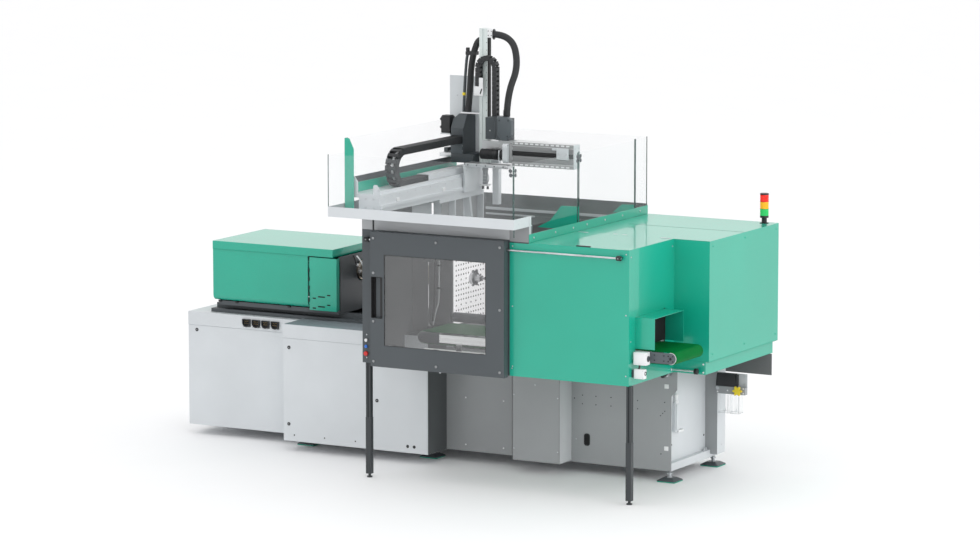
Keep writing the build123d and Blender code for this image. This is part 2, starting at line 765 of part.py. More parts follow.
# Front guard: front panel, end wall with the outlet, fixed top strip; the hood is its own solid
with BuildPart() as front_guard:
    with BuildSketch(Plane.XY.offset(GUARD_BOTTOM)):
        with BuildLine():
            Polyline(
                (GUARD_LEFT, GUARD_FRONT),
                (GUARD_RIGHT, GUARD_FRONT),
                (GUARD_RIGHT, GUARD_BACK),
                (GUARD_RIGHT - SHEET, GUARD_BACK),
                (GUARD_RIGHT - SHEET, GUARD_FRONT + SHEET),
                (GUARD_LEFT + SHEET, GUARD_FRONT + SHEET),
                (GUARD_LEFT + SHEET, GUARD_FRONT + GUARD_FLANGE),
                (GUARD_LEFT, GUARD_FRONT + GUARD_FLANGE),
                close=True,
            )
        make_face()
    extrude(amount=GUARD_TOP - SHEET - GUARD_BOTTOM)
    block((GUARD_RIGHT - SHEET, GUARD_RIGHT), (GUARD_FRONT, GUARD_BACK), (GUARD_TOP - SHEET, GUARD_TOP))
    block((COVER_LEFT, GUARD_RIGHT), (GUARD_FRONT, GUARD_FRONT + SHEET), (GUARD_TOP - SHEET, GUARD_TOP))
    block((LEDGE_RIGHT, COVER_LEFT), (GUARD_FRONT, GUARD_BACK), (GUARD_TOP - SHEET, GUARD_TOP))
    outlet_y = (HOOD_FRONT + HOOD_SHEET, HOOD_BACK - HOOD_SHEET)
    block((GUARD_RIGHT - SHEET, GUARD_RIGHT), outlet_y, (OUTLET_BOTTOM, HOOD_TOP - HOOD_SHEET), Mode.SUBTRACT)
with BuildPart() as conveyor_hood:
    block((GUARD_RIGHT, HOOD_RIGHT), (HOOD_FRONT, HOOD_BACK), (HOOD_BOTTOM, HOOD_TOP))
    block((GUARD_RIGHT, HOOD_RIGHT), outlet_y, (HOOD_BOTTOM, HOOD_TOP - HOOD_SHEET), Mode.SUBTRACT)
guard_assembly = Compound(children=[*front_guard.part.solids(), *conveyor_hood.part.solids()])
guard_assembly.label = "front_guard"
export_step(guard_assembly, "parts/front_guard.step")

# Top flap of the guard, hinged along its rear edge
with BuildPart() as top_flap:
    flap_x = (COVER_LEFT + FLAP_GAP, GUARD_RIGHT)
    block(flap_x, (GUARD_FRONT, GUARD_BACK - FLAP_GAP), (GUARD_TOP + SLIDE_GAP, GUARD_TOP + SHEET))
    lip_y = (GUARD_FRONT + SHEET + FLAP_GAP, GUARD_FRONT + 2 * SHEET + FLAP_GAP)
    block((COVER_LEFT + 30, GUARD_RIGHT - 30), lip_y, (GUARD_TOP - FLAP_LIP, GUARD_TOP + SLIDE_GAP))
top_flap.part.label = "top_flap"
export_step(top_flap.part, "parts/top_flap.step")

# Clamp cover and the lower skirt that hangs inside its edge
SKIRT_RIGHT = COVER_RIGHT - SKIRT_INSET
with BuildPart() as clamp_cover:
    block((COVER_LEFT, COVER_RIGHT), (GUARD_BACK, COVER_BACK), (COVER_BOTTOM, GUARD_TOP))
    inner_y = (GUARD_BACK + SHEET, COVER_BACK - SHEET)
    block((COVER_LEFT, COVER_RIGHT - SHEET), inner_y, (COVER_BOTTOM, GUARD_TOP - SHEET), Mode.SUBTRACT)
    wall_y = (GUARD_BACK, GUARD_BACK + SHEET)
    block((COVER_LEFT, GUARD_RIGHT), wall_y, (COVER_BOTTOM, GUARD_TOP - SHEET), Mode.SUBTRACT)
    floor_z = (BASE_TOP, BASE_TOP + SHEET)
    front_floor = (GUARD_BACK + SHEET, BASE_FRONT + BED_MARGIN)
    rear_floor = (BASE_BACK - BED_MARGIN, COVER_BACK - SHEET)
    for floor_y in (front_floor, rear_floor):
        block((COVER_LEFT, COVER_RIGHT - SHEET), floor_y, floor_z)
with BuildPart() as clamp_skirt:
    with BuildSketch(Plane.XY.offset(GUARD_BOTTOM)):
        with BuildLine():
            Polyline(
                (GUARD_RIGHT, GUARD_BACK),
                (SKIRT_RIGHT, GUARD_BACK),
                (SKIRT_RIGHT, SKIRT_BACK),
                (SKIRT_RIGHT - SHEET, SKIRT_BACK),
                (SKIRT_RIGHT - SHEET, GUARD_BACK + SHEET),
                (GUARD_RIGHT, GUARD_BACK + SHEET),
                close=True,
            )
        make_face()
    extrude(amount=COVER_BOTTOM - GUARD_BOTTOM)
    block((SKIRT_RIGHT - SHEET, COVER_RIGHT), (GUARD_BACK, SKIRT_BACK), (COVER_BOTTOM - SHEET, COVER_BOTTOM))
cover_assembly = Compound(children=[*clamp_cover.part.solids(), *clamp_skirt.part.solids()])
cover_assembly.label = "clamp_cover"
export_step(cover_assembly, "parts/clamp_cover.step")

# Mould guards: left wall with its cut-out, rear wall, and the dark skirt behind the end bay
with BuildPart() as left_wall:
    outline(
        end_plane(FRAME_LEFT - SHEET),
        [
            (FRAME_BACK, GUARD_BOTTOM),
            (HYDRAULIC_FRONT - 5, GUARD_BOTTOM),
            (HYDRAULIC_FRONT - 5, HYDRAULIC_TOP),
            (BASE_FRONT - 10, HYDRAULIC_TOP),
            (BASE_FRONT - 10, LEDGE_BOTTOM - PEDESTAL_FLANGE),
            (PEDESTAL_NEAR - 10, LEDGE_BOTTOM - PEDESTAL_FLANGE),
            (PEDESTAL_NEAR - 10, LEDGE_BOTTOM),
            (FRAME_BACK, LEDGE_BOTTOM),
        ],
        SHEET,
    )
with BuildPart() as rear_wall:
    wall_x = (FRAME_LEFT, LEDGE_RIGHT)
    block(wall_x, (DECK_BACK - SHEET, DECK_BACK), (REAR_WALL_BOTTOM, REAR_WALL_TOP))
    block(wall_x, (BASE_BACK - BED_MARGIN, DECK_BACK - SHEET), (BASE_TOP, BASE_TOP + SHEET))
    for shelf_z in (1840, 1880):
        block((wall_x[0], wall_x[1] - 10), (DECK_BACK - 22, DECK_BACK - SHEET), (shelf_z, shelf_z + 8))
with BuildPart() as rear_skirt:
    rear_skirt_y = (REAR_SKIRT_Y, REAR_SKIRT_Y + SHEET)
    block((REAR_SKIRT_LEFT, REAR_SKIRT_RIGHT), rear_skirt_y, (REAR_SKIRT_BOTTOM, PANEL_TOP))
    block((REAR_SKIRT_LEFT, END_WALL_X), (BASE_BACK + PANEL, REAR_SKIRT_Y), (PANEL_TOP - SHEET, PANEL_TOP))
guards = Compound(children=[*left_wall.part.solids(), *rear_wall.part.solids(), *rear_skirt.part.solids()])
guards.label = "mould_guards"
export_step(guards, "parts/mould_guards.step")

# Platens: chamfered blocks that stand on the bed, bored for the four tie bars
TIE_BAR_SPOTS = [
    (AXIS_Y + side * TIE_BAR_SPREAD, AXIS_Z + level * TIE_BAR_SPREAD) for side in (-1, 1) for level in (-1, 1)
]
PLATEN_TOP = AXIS_Z + PLATEN_HALF
PLATEN_Y = (AXIS_Y - PLATEN_HALF, AXIS_Y + PLATEN_HALF)
FIXED_PLATEN_BACK = FIXED_PLATEN_FACE - FIXED_PLATEN_DEPTH
MOVING_PLATEN_BACK = MOVING_PLATEN_FACE + MOVING_PLATEN_DEPTH
with BuildPart() as fixed_platen:
    block((FIXED_PLATEN_BACK, FIXED_PLATEN_FACE), PLATEN_Y, (BED_TOP, PLATEN_TOP))
    chamfer(fixed_platen.edges().filter_by(Axis.X), PLATEN_CHAMFER)
    rod(end_plane(FIXED_PLATEN_BACK), (AXIS_Y, AXIS_Z), LOCATING_BORE, FIXED_PLATEN_DEPTH - 40, Mode.SUBTRACT)
    for spot in TIE_BAR_SPOTS:
        fixed_bore = TIE_BAR_RADIUS + TIE_BAR_FIXED_FIT
        rod(end_plane(FIXED_PLATEN_BACK), spot, fixed_bore, FIXED_PLATEN_DEPTH, Mode.SUBTRACT)
    rod(end_plane(FIXED_PLATEN_FACE), (AXIS_Y, AXIS_Z), HUB_RADIUS, HUB_LENGTH)
    rod(end_plane(FIXED_PLATEN_FACE + HUB_LENGTH), (AXIS_Y, AXIS_Z), HUB_NOSE_RADIUS, HUB_NOSE_LENGTH)
fixed_platen.part.label = "fixed_platen"
export_step(fixed_platen.part, "parts/fixed_platen.step")

# Four tie bars and the nuts at both ends
with BuildPart() as tie_bars:
    for spot in TIE_BAR_SPOTS:
        bar_left = FIXED_PLATEN_BACK - TIE_NUT_LENGTH
        rod(end_plane(bar_left), spot, TIE_BAR_RADIUS, CYLINDER_RIGHT + TIE_NUT_LENGTH - bar_left)
with BuildPart() as tie_nuts:
    for nut_left in (FIXED_PLATEN_BACK - TIE_NUT_LENGTH, CYLINDER_RIGHT):
        for spot in TIE_BAR_SPOTS:
            with BuildSketch(end_plane(nut_left)):
                with Locations(spot):
                    RegularPolygon(TIE_NUT_RADIUS, 6)
                    Circle(TIE_BAR_RADIUS + TIE_BAR_FIXED_FIT, mode=Mode.SUBTRACT)
            extrude(amount=TIE_NUT_LENGTH)
tie_assembly = Compound(children=[*tie_bars.part.solids(), *tie_nuts.part.solids()])
tie_assembly.label = "tie_bars"
export_step(tie_assembly, "parts/tie_bars.step")

# Cylinder block of the clamp, bored for the ram
with BuildPart() as cylinder_block:
    block((CYLINDER_LEFT, CYLINDER_RIGHT), PLATEN_Y, (BED_TOP, PLATEN_TOP))
    chamfer(cylinder_block.edges().filter_by(Axis.X), PLATEN_CHAMFER)
    bore_length = CYLINDER_RIGHT - RAM_END_GAP / 2 - CYLINDER_LEFT
    rod(end_plane(CYLINDER_LEFT), (AXIS_Y, AXIS_Z), RAM_RADIUS + RUNNING_FIT, bore_length, Mode.SUBTRACT)
    for spot in TIE_BAR_SPOTS:
        block_length = CYLINDER_RIGHT - CYLINDER_LEFT
        rod(end_plane(CYLINDER_LEFT), spot, TIE_BAR_RADIUS + TIE_BAR_FIXED_FIT, block_length, Mode.SUBTRACT)
cylinder_block.part.label = "cylinder_block"
export_step(cylinder_block.part, "parts/cylinder_block.step")

# Moving platen on its rails, with the pocket of the ejector
with BuildPart() as moving_platen:
    platen_foot = BED_TOP + CLAMP_RAIL_HEIGHT + SLIDE_GAP
    block((MOVING_PLATEN_FACE, MOVING_PLATEN_BACK), PLATEN_Y, (platen_foot, PLATEN_TOP))
    chamfer(moving_platen.edges().filter_by(Axis.X), PLATEN_CHAMFER)
    for spot in TIE_BAR_SPOTS:
        sliding_bore = TIE_BAR_RADIUS + RUNNING_FIT
        rod(end_plane(MOVING_PLATEN_FACE), spot, sliding_bore, MOVING_PLATEN_DEPTH, Mode.SUBTRACT)
    ejector_bore = EJECTOR_ROD_RADIUS + RUNNING_FIT
    rod(end_plane(MOVING_PLATEN_FACE), (AXIS_Y, AXIS_Z), ejector_bore, EJECTOR_WALL, Mode.SUBTRACT)
    pocket_left = MOVING_PLATEN_FACE + EJECTOR_WALL
    pocket_depth = MOVING_PLATEN_DEPTH - EJECTOR_WALL
    rod(end_plane(pocket_left), (AXIS_Y, AXIS_Z), EJECTOR_POCKET_RADIUS, pocket_depth, Mode.SUBTRACT)
moving_platen.part.label = "moving_platen"
export_step(moving_platen.part, "parts/moving_platen.step")

# Ram of the clamp, bolted to the back of the moving platen
with BuildPart() as clamp_ram:
    ram_length = CYLINDER_RIGHT - RAM_END_GAP - MOVING_PLATEN_BACK
    rod(end_plane(MOVING_PLATEN_BACK), (AXIS_Y, AXIS_Z), RAM_RADIUS, ram_length)
clamp_ram.part.label = "clamp_ram"
export_step(clamp_ram.part, "parts/clamp_ram.step")

# Ejector: plate in the pocket, rod through the face
with BuildPart() as ejector:
    plate_left = MOVING_PLATEN_BACK - EJECTOR_PLATE - SLIDE_GAP
    rod(end_plane(plate_left), (AXIS_Y, AXIS_Z), EJECTOR_PLATE_RADIUS, EJECTOR_PLATE)
    rod(end_plane(MOVING_PLATEN_FACE), (AXIS_Y, AXIS_Z), EJECTOR_ROD_RADIUS, plate_left - MOVING_PLATEN_FACE)
ejector.part.label = "ejector"
export_step(ejector.part, "parts/ejector.step")

# Outlet conveyor: two side profiles with end plates, tied by cross members
BELT_FRONT = CONVEYOR_FRONT + SIDE_PLATE + BELT_SIDE_GAP
BELT_BACK = CONVEYOR_BACK - SIDE_PLATE - BELT_SIDE_GAP
ROLLER_Z = BELT_TOP - ROLLER_RADIUS - BELT_THICKNESS
DRIVE_X = CONVEYOR_RIGHT - ROLLER_RADIUS - BELT_THICKNESS
IDLER_X = CONVEYOR_LEFT + ROLLER_RADIUS + BELT_THICKNESS
with BuildPart() as conveyor_frame:
    for plate_y in (CONVEYOR_FRONT, CONVEYOR_BACK - SIDE_PLATE):
        for roller_x, inward in ((DRIVE_X, -1), (IDLER_X, 1)):
            with BuildSketch(front_plane(plate_y + SIDE_PLATE)):
                with Locations((roller_x, ROLLER_Z)):
                    Circle(SIDE_PLATE_HEIGHT / 2)
                plate_middle = roller_x + inward * SIDE_PLATE_LENGTH / 2
                with Locations((plate_middle, ROLLER_Z)):
                    Rectangle(SIDE_PLATE_LENGTH, SIDE_PLATE_HEIGHT)
                with Locations((roller_x, ROLLER_Z)):
                    Circle(SHAFT_RADIUS + RUNNING_FIT, mode=Mode.SUBTRACT)
            extrude(amount=SIDE_PLATE)
        profile_x = (IDLER_X + SIDE_PLATE_LENGTH, DRIVE_X - SIDE_PLATE_LENGTH)
        block(
            profile_x,
            (plate_y, plate_y + SIDE_PLATE),
            (ROLLER_Z - PROFILE_HEIGHT / 2, ROLLER_Z + PROFILE_HEIGHT / 2),
        )
    for tie_x in (IDLER_X + 300, (IDLER_X + DRIVE_X) / 2, DRIVE_X - 400):
        tie_z = (ROLLER_Z - 15, ROLLER_Z + 15)
        block((tie_x - 20, tie_x + 20), (CONVEYOR_FRONT + SIDE_PLATE, CONVEYOR_BACK - SIDE_PLATE), tie_z)
    for leg_x in (IDLER_X + 320, DRIVE_X - 420):
        for leg_y in (CONVEYOR_FRONT, CONVEYOR_BACK - SIDE_PLATE):
            leg_top = ROLLER_Z - PROFILE_HEIGHT / 2
            block((leg_x - 25, leg_x + 25), (leg_y, leg_y + SIDE_PLATE), (leg_top - 55, leg_top))
    for rail_y in (CONVEYOR_FRONT, CONVEYOR_BACK - SIDE_PLATE):
        rail_top = ROLLER_Z - PROFILE_HEIGHT / 2 - 55
        block((CONVEYOR_LEFT + 60, GUARD_RIGHT - SHEET), (rail_y, rail_y + 30), (rail_top - 30, rail_top))
conveyor_frame.part.label = "conveyor_frame"
export_step(conveyor_frame.part, "parts/conveyor_frame.step")

# Belt loop round both rollers
with BuildPart() as conveyor_belt:
    with BuildSketch(front_plane(BELT_BACK)):
        with Locations(((DRIVE_X + IDLER_X) / 2, ROLLER_Z)):
            SlotCenterToCenter(DRIVE_X - IDLER_X, 2 * (ROLLER_RADIUS + BELT_THICKNESS))
            SlotCenterToCenter(DRIVE_X - IDLER_X, 2 * (ROLLER_RADIUS + BELT_GAP), mode=Mode.SUBTRACT)
    extrude(amount=BELT_BACK - BELT_FRONT)
conveyor_belt.part.label = "conveyor_belt"
export_step(conveyor_belt.part, "parts/conveyor_belt.step")

# Rollers, each with its shaft through the side plates
for label, roller_x in (("drive_roller", DRIVE_X), ("idler_roller", IDLER_X)):
    with BuildPart() as roller:
        rod(front_plane(BELT_BACK), (roller_x, ROLLER_Z), ROLLER_RADIUS, BELT_BACK - BELT_FRONT)
        shaft_length = CONVEYOR_BACK - CONVEYOR_FRONT
        rod(front_plane(CONVEYOR_BACK), (roller_x, ROLLER_Z), SHAFT_RADIUS, shaft_length)
    roller.part.label = label
    export_step(roller.part, f"parts/{label}.step")

# Drive motor box on the side plate, and the switch box on the guard's end wall
with BuildPart() as conveyor_drive:
    motor_z = ROLLER_Z - SIDE_PLATE_HEIGHT / 2
    block(
        (MOTOR_BOX_LEFT, MOTOR_BOX_LEFT + MOTOR_BOX_LENGTH),
        (CONVEYOR_FRONT - MOTOR_BOX_DEPTH, CONVEYOR_FRONT),
        (motor_z - 14, motor_z - 14 + MOTOR_BOX_HEIGHT),
    )
    fillet(conveyor_drive.edges().filter_by(Axis.Y), 5)
    block(
        (GUARD_RIGHT, GUARD_RIGHT + SWITCH_BOX_WIDTH),
        (CONVEYOR_FRONT - MOTOR_BOX_DEPTH, CONVEYOR_FRONT - MOTOR_BOX_DEPTH + SWITCH_BOX_DEPTH),
        (SWITCH_BOX_BOTTOM, SWITCH_BOX_BOTTOM + SWITCH_BOX_HEIGHT),
    )
conveyor_drive.part.label = "conveyor_drive"
export_step(conveyor_drive.part, "parts/conveyor_drive.step")

# Injection unit: sliding base, with the drive block and its pocket
UNIT_BASE_BOTTOM = BED_TOP + RAIL_HEIGHT + SLIDE_GAP
with BuildPart() as unit_base:
    base_y = (UNIT_FRONT + 30, UNIT_BACK - 30)
    base_top = UNIT_BASE_BOTTOM + UNIT_BASE_THICKNESS
    block((UNIT_LEFT + 40, UNIT_RIGHT), base_y, (UNIT_BASE_BOTTOM, base_top))
    end_plate_y = (UNIT_FRONT + UNIT_CORNER, UNIT_BACK - UNIT_CORNER)
    block((UNIT_RIGHT - 10, UNIT_RIGHT), end_plate_y, (base_top, UNIT_SEAM))
    rod(end_plane(UNIT_RIGHT - 10), (AXIS_Y, AXIS_Z), BAND_RADIUS + 12, 10, Mode.SUBTRACT)
with BuildPart() as drive_block:
    drive_y = (AXIS_Y - DRIVE_HALF, AXIS_Y + DRIVE_HALF)
    block((DRIVE_LEFT, DRIVE_RIGHT), drive_y, (base_top, AXIS_Z + DRIVE_HALF * 0.6))
    chamfer(drive_block.edges().filter_by(Axis.X).group_by(Axis.Z)[-1], 40)
    pocket_length = DRIVE_RIGHT - DRIVE_LEFT - 60
    rod(end_plane(DRIVE_LEFT + 30), (AXIS_Y, AXIS_Z), DRIVE_POCKET_RADIUS, pocket_length, Mode.SUBTRACT)
    rod(end_plane(DRIVE_RIGHT - 40), (AXIS_Y, AXIS_Z), SCREW_RADIUS + 4, 40, Mode.SUBTRACT)
unit_assembly = Compound(children=[*unit_base.part.solids(), *drive_block.part.solids()])
unit_assembly.label = "unit_base"
export_step(unit_assembly, "parts/unit_base.step")

# Barrel, bored for the screw, with the nozzle that meets the fixed platen
with BuildPart() as barrel:
    rod(end_plane(DRIVE_RIGHT), (AXIS_Y, AXIS_Z), BARREL_RADIUS, BARREL_RIGHT - DRIVE_RIGHT)
    rod(end_plane(DRIVE_RIGHT), (AXIS_Y, AXIS_Z), BARREL_BORE, BARREL_RIGHT - 60 - DRIVE_RIGHT, Mode.SUBTRACT)
with BuildPart() as nozzle:
    with BuildSketch(Plane.XY.offset(AXIS_Z)):
        with BuildLine():
            Polyline(
                (BARREL_RIGHT, AXIS_Y),
                (BARREL_RIGHT, AXIS_Y + BARREL_RADIUS * 0.9),
                (BARREL_RIGHT + 26, AXIS_Y + BARREL_RADIUS * 0.9),
                (BARREL_RIGHT + 40, AXIS_Y + BARREL_RADIUS * 0.55),
                (NOZZLE_TIP - 20, AXIS_Y + NOZZLE_TIP_RADIUS * 1.3),
                (NOZZLE_TIP, AXIS_Y + NOZZLE_TIP_RADIUS * 0.5),
                (NOZZLE_TIP, AXIS_Y),
                close=True,
            )
        make_face()
    revolve(axis=Axis((0, AXIS_Y, AXIS_Z), (1, 0, 0)))
barrel_assembly = Compound(children=[*barrel.part.solids(), *nozzle.part.solids()])
barrel_assembly.label = "barrel"
export_step(barrel_assembly, "parts/barrel.step")

with BuildPart() as heater_bands:
    for number in range(BAND_COUNT):
        band_left = BARREL_RIGHT - 20 - (number + 1) * BAND_LENGTH - number * BAND_GAP
        with BuildSketch(end_plane(band_left)):
            with Locations((AXIS_Y, AXIS_Z)):
                Circle(BAND_RADIUS)
                Circle(BARREL_RADIUS + TIE_BAR_FIXED_FIT, mode=Mode.SUBTRACT)
        extrude(amount=BAND_LENGTH)
heater_bands.part.label = "heater_bands"
export_step(heater_bands.part, "parts/heater_bands.step")

# Injection piston in the drive block, and the plasticising screw that turns in front of it
with BuildPart() as injection_piston:
    piston_left = DRIVE_LEFT + 60
    rod(end_plane(piston_left), (AXIS_Y, AXIS_Z), DRIVE_POCKET_RADIUS - RUNNING_FIT, SCREW_HUB_LENGTH)
injection_piston.part.label = "injection_piston"
export_step(injection_piston.part, "parts/injection_piston.step")

with BuildPart() as screw:
    shank_left = piston_left + SCREW_HUB_LENGTH + SLIDE_GAP
    shank_right = BARREL_RIGHT - 330
    rod(end_plane(shank_left), (AXIS_Y, AXIS_Z), SCREW_HUB_RADIUS, SCREW_HUB_LENGTH / 2)
    rod(end_plane(shank_left), (AXIS_Y, AXIS_Z), SCREW_RADIUS, shank_right - shank_left)
    with BuildSketch(end_plane(shank_right)) as tip_root:
        with Locations((AXIS_Y, AXIS_Z)):
            Circle(SCREW_RADIUS)
    with BuildSketch(end_plane(shank_right + SCREW_TIP_LENGTH)) as tip_end:
        with Locations((AXIS_Y, AXIS_Z)):
            Circle(SCREW_RADIUS * 0.2)
    loft([tip_root.sketch, tip_end.sketch])
screw.part.label = "screw"
export_step(screw.part, "parts/screw.step")

KNUCKLE_BOTTOM = NOZZLE_GUARD_BOTTOM + 40
KNUCKLE_TOP = NOZZLE_GUARD_TOP - 40
hinge_spot = (NOZZLE_GUARD_LEFT - HINGE_RADIUS + 2, UNIT_FRONT + HINGE_RADIUS)

# Cover of the injection unit: a long shell with rounded lower corners and a lid above the seam
with BuildPart() as unit_cover:
    with BuildSketch(end_plane(UNIT_LEFT)) as cover_end:
        with Locations((AXIS_Y, (UNIT_BOTTOM + UNIT_SEAM) / 2)):
            Rectangle(UNIT_BACK - UNIT_FRONT, UNIT_SEAM - UNIT_BOTTOM)
        fillet(cover_end.vertices().group_by(Axis.Y)[0], UNIT_CORNER)
        with Locations((AXIS_Y, (UNIT_BOTTOM + UNIT_SEAM) / 2)):
            Rectangle(
                UNIT_BACK - UNIT_FRONT - 2 * UNIT_CORNER,
                UNIT_SEAM - UNIT_BOTTOM,
                mode=Mode.SUBTRACT,
            )
    extrude(amount=UNIT_RIGHT - UNIT_LEFT)
    guard_x = (NOZZLE_GUARD_LEFT - NOZZLE_GUARD_GAP, UNIT_RIGHT)
    guard_z = (UNIT_BOTTOM, UNIT_SEAM)
    block(guard_x, (UNIT_FRONT, UNIT_FRONT + UNIT_CORNER), guard_z, Mode.SUBTRACT)
    block((UNIT_LEFT, UNIT_LEFT + COVER_SHEET), (UNIT_FRONT + UNIT_CORNER, UNIT_BACK - UNIT_CORNER), guard_z)
    rod(end_plane(UNIT_LEFT), (AXIS_Y, AXIS_Z), BARREL_RADIUS, COVER_SHEET, Mode.SUBTRACT)
    ear_x = (guard_x[0], hinge_spot[0] + HINGE_RADIUS)
    ear_y = (UNIT_FRONT, UNIT_FRONT + 2 * HINGE_RADIUS)
    block(ear_x, ear_y, (KNUCKLE_BOTTOM - SLIDE_GAP - HINGE_EAR, KNUCKLE_BOTTOM - SLIDE_GAP))
    block(ear_x, ear_y, (KNUCKLE_TOP + SLIDE_GAP, KNUCKLE_TOP + SLIDE_GAP + HINGE_EAR))
    for pin_start in (KNUCKLE_BOTTOM - SLIDE_GAP, KNUCKLE_TOP + SLIDE_GAP - HINGE_PIN):
        rod(Plane.XY.offset(pin_start), hinge_spot, HINGE_PIN_RADIUS, HINGE_PIN)
unit_cover.part.label = "unit_cover"
export_step(unit_cover.part, "parts/unit_cover.step")

with BuildPart() as unit_lid:
    with BuildSketch(end_plane(UNIT_LEFT)) as lid_end:
        with Locations((AXIS_Y, (UNIT_SEAM + UNIT_TOP) / 2)):
            Rectangle(UNIT_BACK - UNIT_FRONT + 8, UNIT_TOP - UNIT_SEAM)
        fillet(lid_end.vertices().group_by(Axis.Y)[-1], 6)
    extrude(amount=LID_RIGHT - UNIT_LEFT)
    lid_inner_y = (UNIT_FRONT + UNIT_CORNER, UNIT_BACK - UNIT_CORNER)
    lid_inner_z = (UNIT_SEAM, UNIT_TOP - COVER_SHEET)
    block((UNIT_LEFT + COVER_SHEET, LID_RIGHT), lid_inner_y, lid_inner_z, Mode.SUBTRACT)
unit_lid.part.label = "unit_lid"
export_step(unit_lid.part, "parts/unit_lid.step")

# Nozzle guard: hinged panel over the front of the barrel, with two rows of vent slots
with BuildPart() as nozzle_guard:
    panel_x = (NOZZLE_GUARD_LEFT, UNIT_RIGHT)
    panel_y = (UNIT_FRONT, UNIT_FRONT + COVER_SHEET)
    block(panel_x, panel_y, (NOZZLE_GUARD_BOTTOM, NOZZLE_GUARD_TOP))
    for row_z in (NOZZLE_GUARD_BOTTOM + 28, NOZZLE_GUARD_BOTTOM + 108):
        for number in range(3):
            slot_x = NOZZLE_GUARD_LEFT + 28 + number * 62
            block((slot_x, slot_x + 36), panel_y, (row_z, row_z + 9), Mode.SUBTRACT)
    notch_x = (NOZZLE_GUARD_LEFT, NOZZLE_GUARD_LEFT + HINGE_NOTCH)
    block(notch_x, panel_y, (KNUCKLE_BOTTOM - HINGE_NOTCH, KNUCKLE_BOTTOM), Mode.SUBTRACT)
    block(notch_x, panel_y, (KNUCKLE_TOP, KNUCKLE_TOP + HINGE_NOTCH), Mode.SUBTRACT)
    knuckle_length = KNUCKLE_TOP - KNUCKLE_BOTTOM
    pin_bore = HINGE_PIN_RADIUS + RUNNING_FIT
    rod(Plane.XY.offset(KNUCKLE_BOTTOM), hinge_spot, HINGE_RADIUS, knuckle_length)
    rod(Plane.XY.offset(KNUCKLE_BOTTOM), hinge_spot, pin_bore, knuckle_length, Mode.SUBTRACT)
nozzle_guard.part.label = "nozzle_guard"
export_step(nozzle_guard.part, "parts/nozzle_guard.step")

# Deck tray: the white ledge that stands out over the door, with its floor
with BuildPart() as deck_tray:
    ledge_back = FRAME_BACK
    block((LEDGE_LEFT, LEDGE_RIGHT), (LEDGE_FRONT, ledge_back), (LEDGE_BOTTOM, LEDGE_TOP))
    block(
        (LEDGE_LEFT + SHEET, LEDGE_RIGHT - SHEET),
        (LEDGE_FRONT + SHEET, ledge_back),
        (LEDGE_BOTTOM + SHEET, LEDGE_TOP),
        Mode.SUBTRACT,
    )
    ledge_z = (LEDGE_BOTTOM, LEDGE_TOP)
    block((LEDGE_RIGHT - SHEET, LEDGE_RIGHT), (GUARD_FRONT, ledge_back), ledge_z, Mode.SUBTRACT)
    deck_end = DECK_BACK - SHEET - PANE
    block((LEDGE_LEFT, LEDGE_LEFT + SHEET), (ledge_back, deck_end), (LEDGE_BOTTOM, LEDGE_TOP))
    deck_floor_z = (LEDGE_BOTTOM, LEDGE_BOTTOM + SHEET)
    block((LEDGE_LEFT, BEAM_LEFT - 6), (ledge_back, deck_end), deck_floor_z)
    block((BEAM_LEFT - 6, FRAME_LEFT), (ledge_back, PEDESTAL_NEAR - 6), deck_floor_z)
deck_tray.part.label = "deck_tray"
export_step(deck_tray.part, "parts/deck_tray.step")

# Teal deck rails: the long strip, its two gussets and the corner post
with BuildPart() as deck_rails:
    block((LEDGE_RIGHT, LEDGE_RIGHT + SHEET), (GUARD_FRONT, COVER_BACK), (GUARD_TOP, STRIP_TOP))
    outline(
        front_plane(GUSSET_Y),
        [(LEDGE_RIGHT, 1936), (LEDGE_RIGHT, 2120), (1088, 2118), (991, 1997), (878, 1938)],
        -SHEET,
    )
    gusset_right = LEDGE_RIGHT - PANE
    rear_gusset = [(gusset_right, 1955), (gusset_right, 2026), (1123, 2022), (1040, 1955)]
    outline(front_plane(REAR_GUSSET_Y), rear_gusset, -SHEET)
with BuildPart() as corner_post:
    post_floor = LEDGE_BOTTOM + SHEET
    post_left = LEDGE_LEFT + SHEET + PANE
    outline(
        front_plane(GUARD_FRONT + SHEET),
        [
            (post_left, post_floor),
            (post_left + CORNER_POST_WIDTH, post_floor),
            (post_left + CORNER_POST_WIDTH, CORNER_POST_TOP - 80),
            (post_left + CORNER_POST_WIDTH / 2, CORNER_POST_TOP),
            (post_left, CORNER_POST_TOP),
        ],
        SHEET,
    )
    block((post_left, post_left + SHEET), (GUARD_FRONT, GUARD_FRONT + 45), (post_floor, CORNER_POST_TOP))
rails_assembly = Compound(children=[*deck_rails.part.solids(), *corner_post.part.solids()])
rails_assembly.label = "deck_rails"
export_step(rails_assembly, "parts/deck_rails.step")

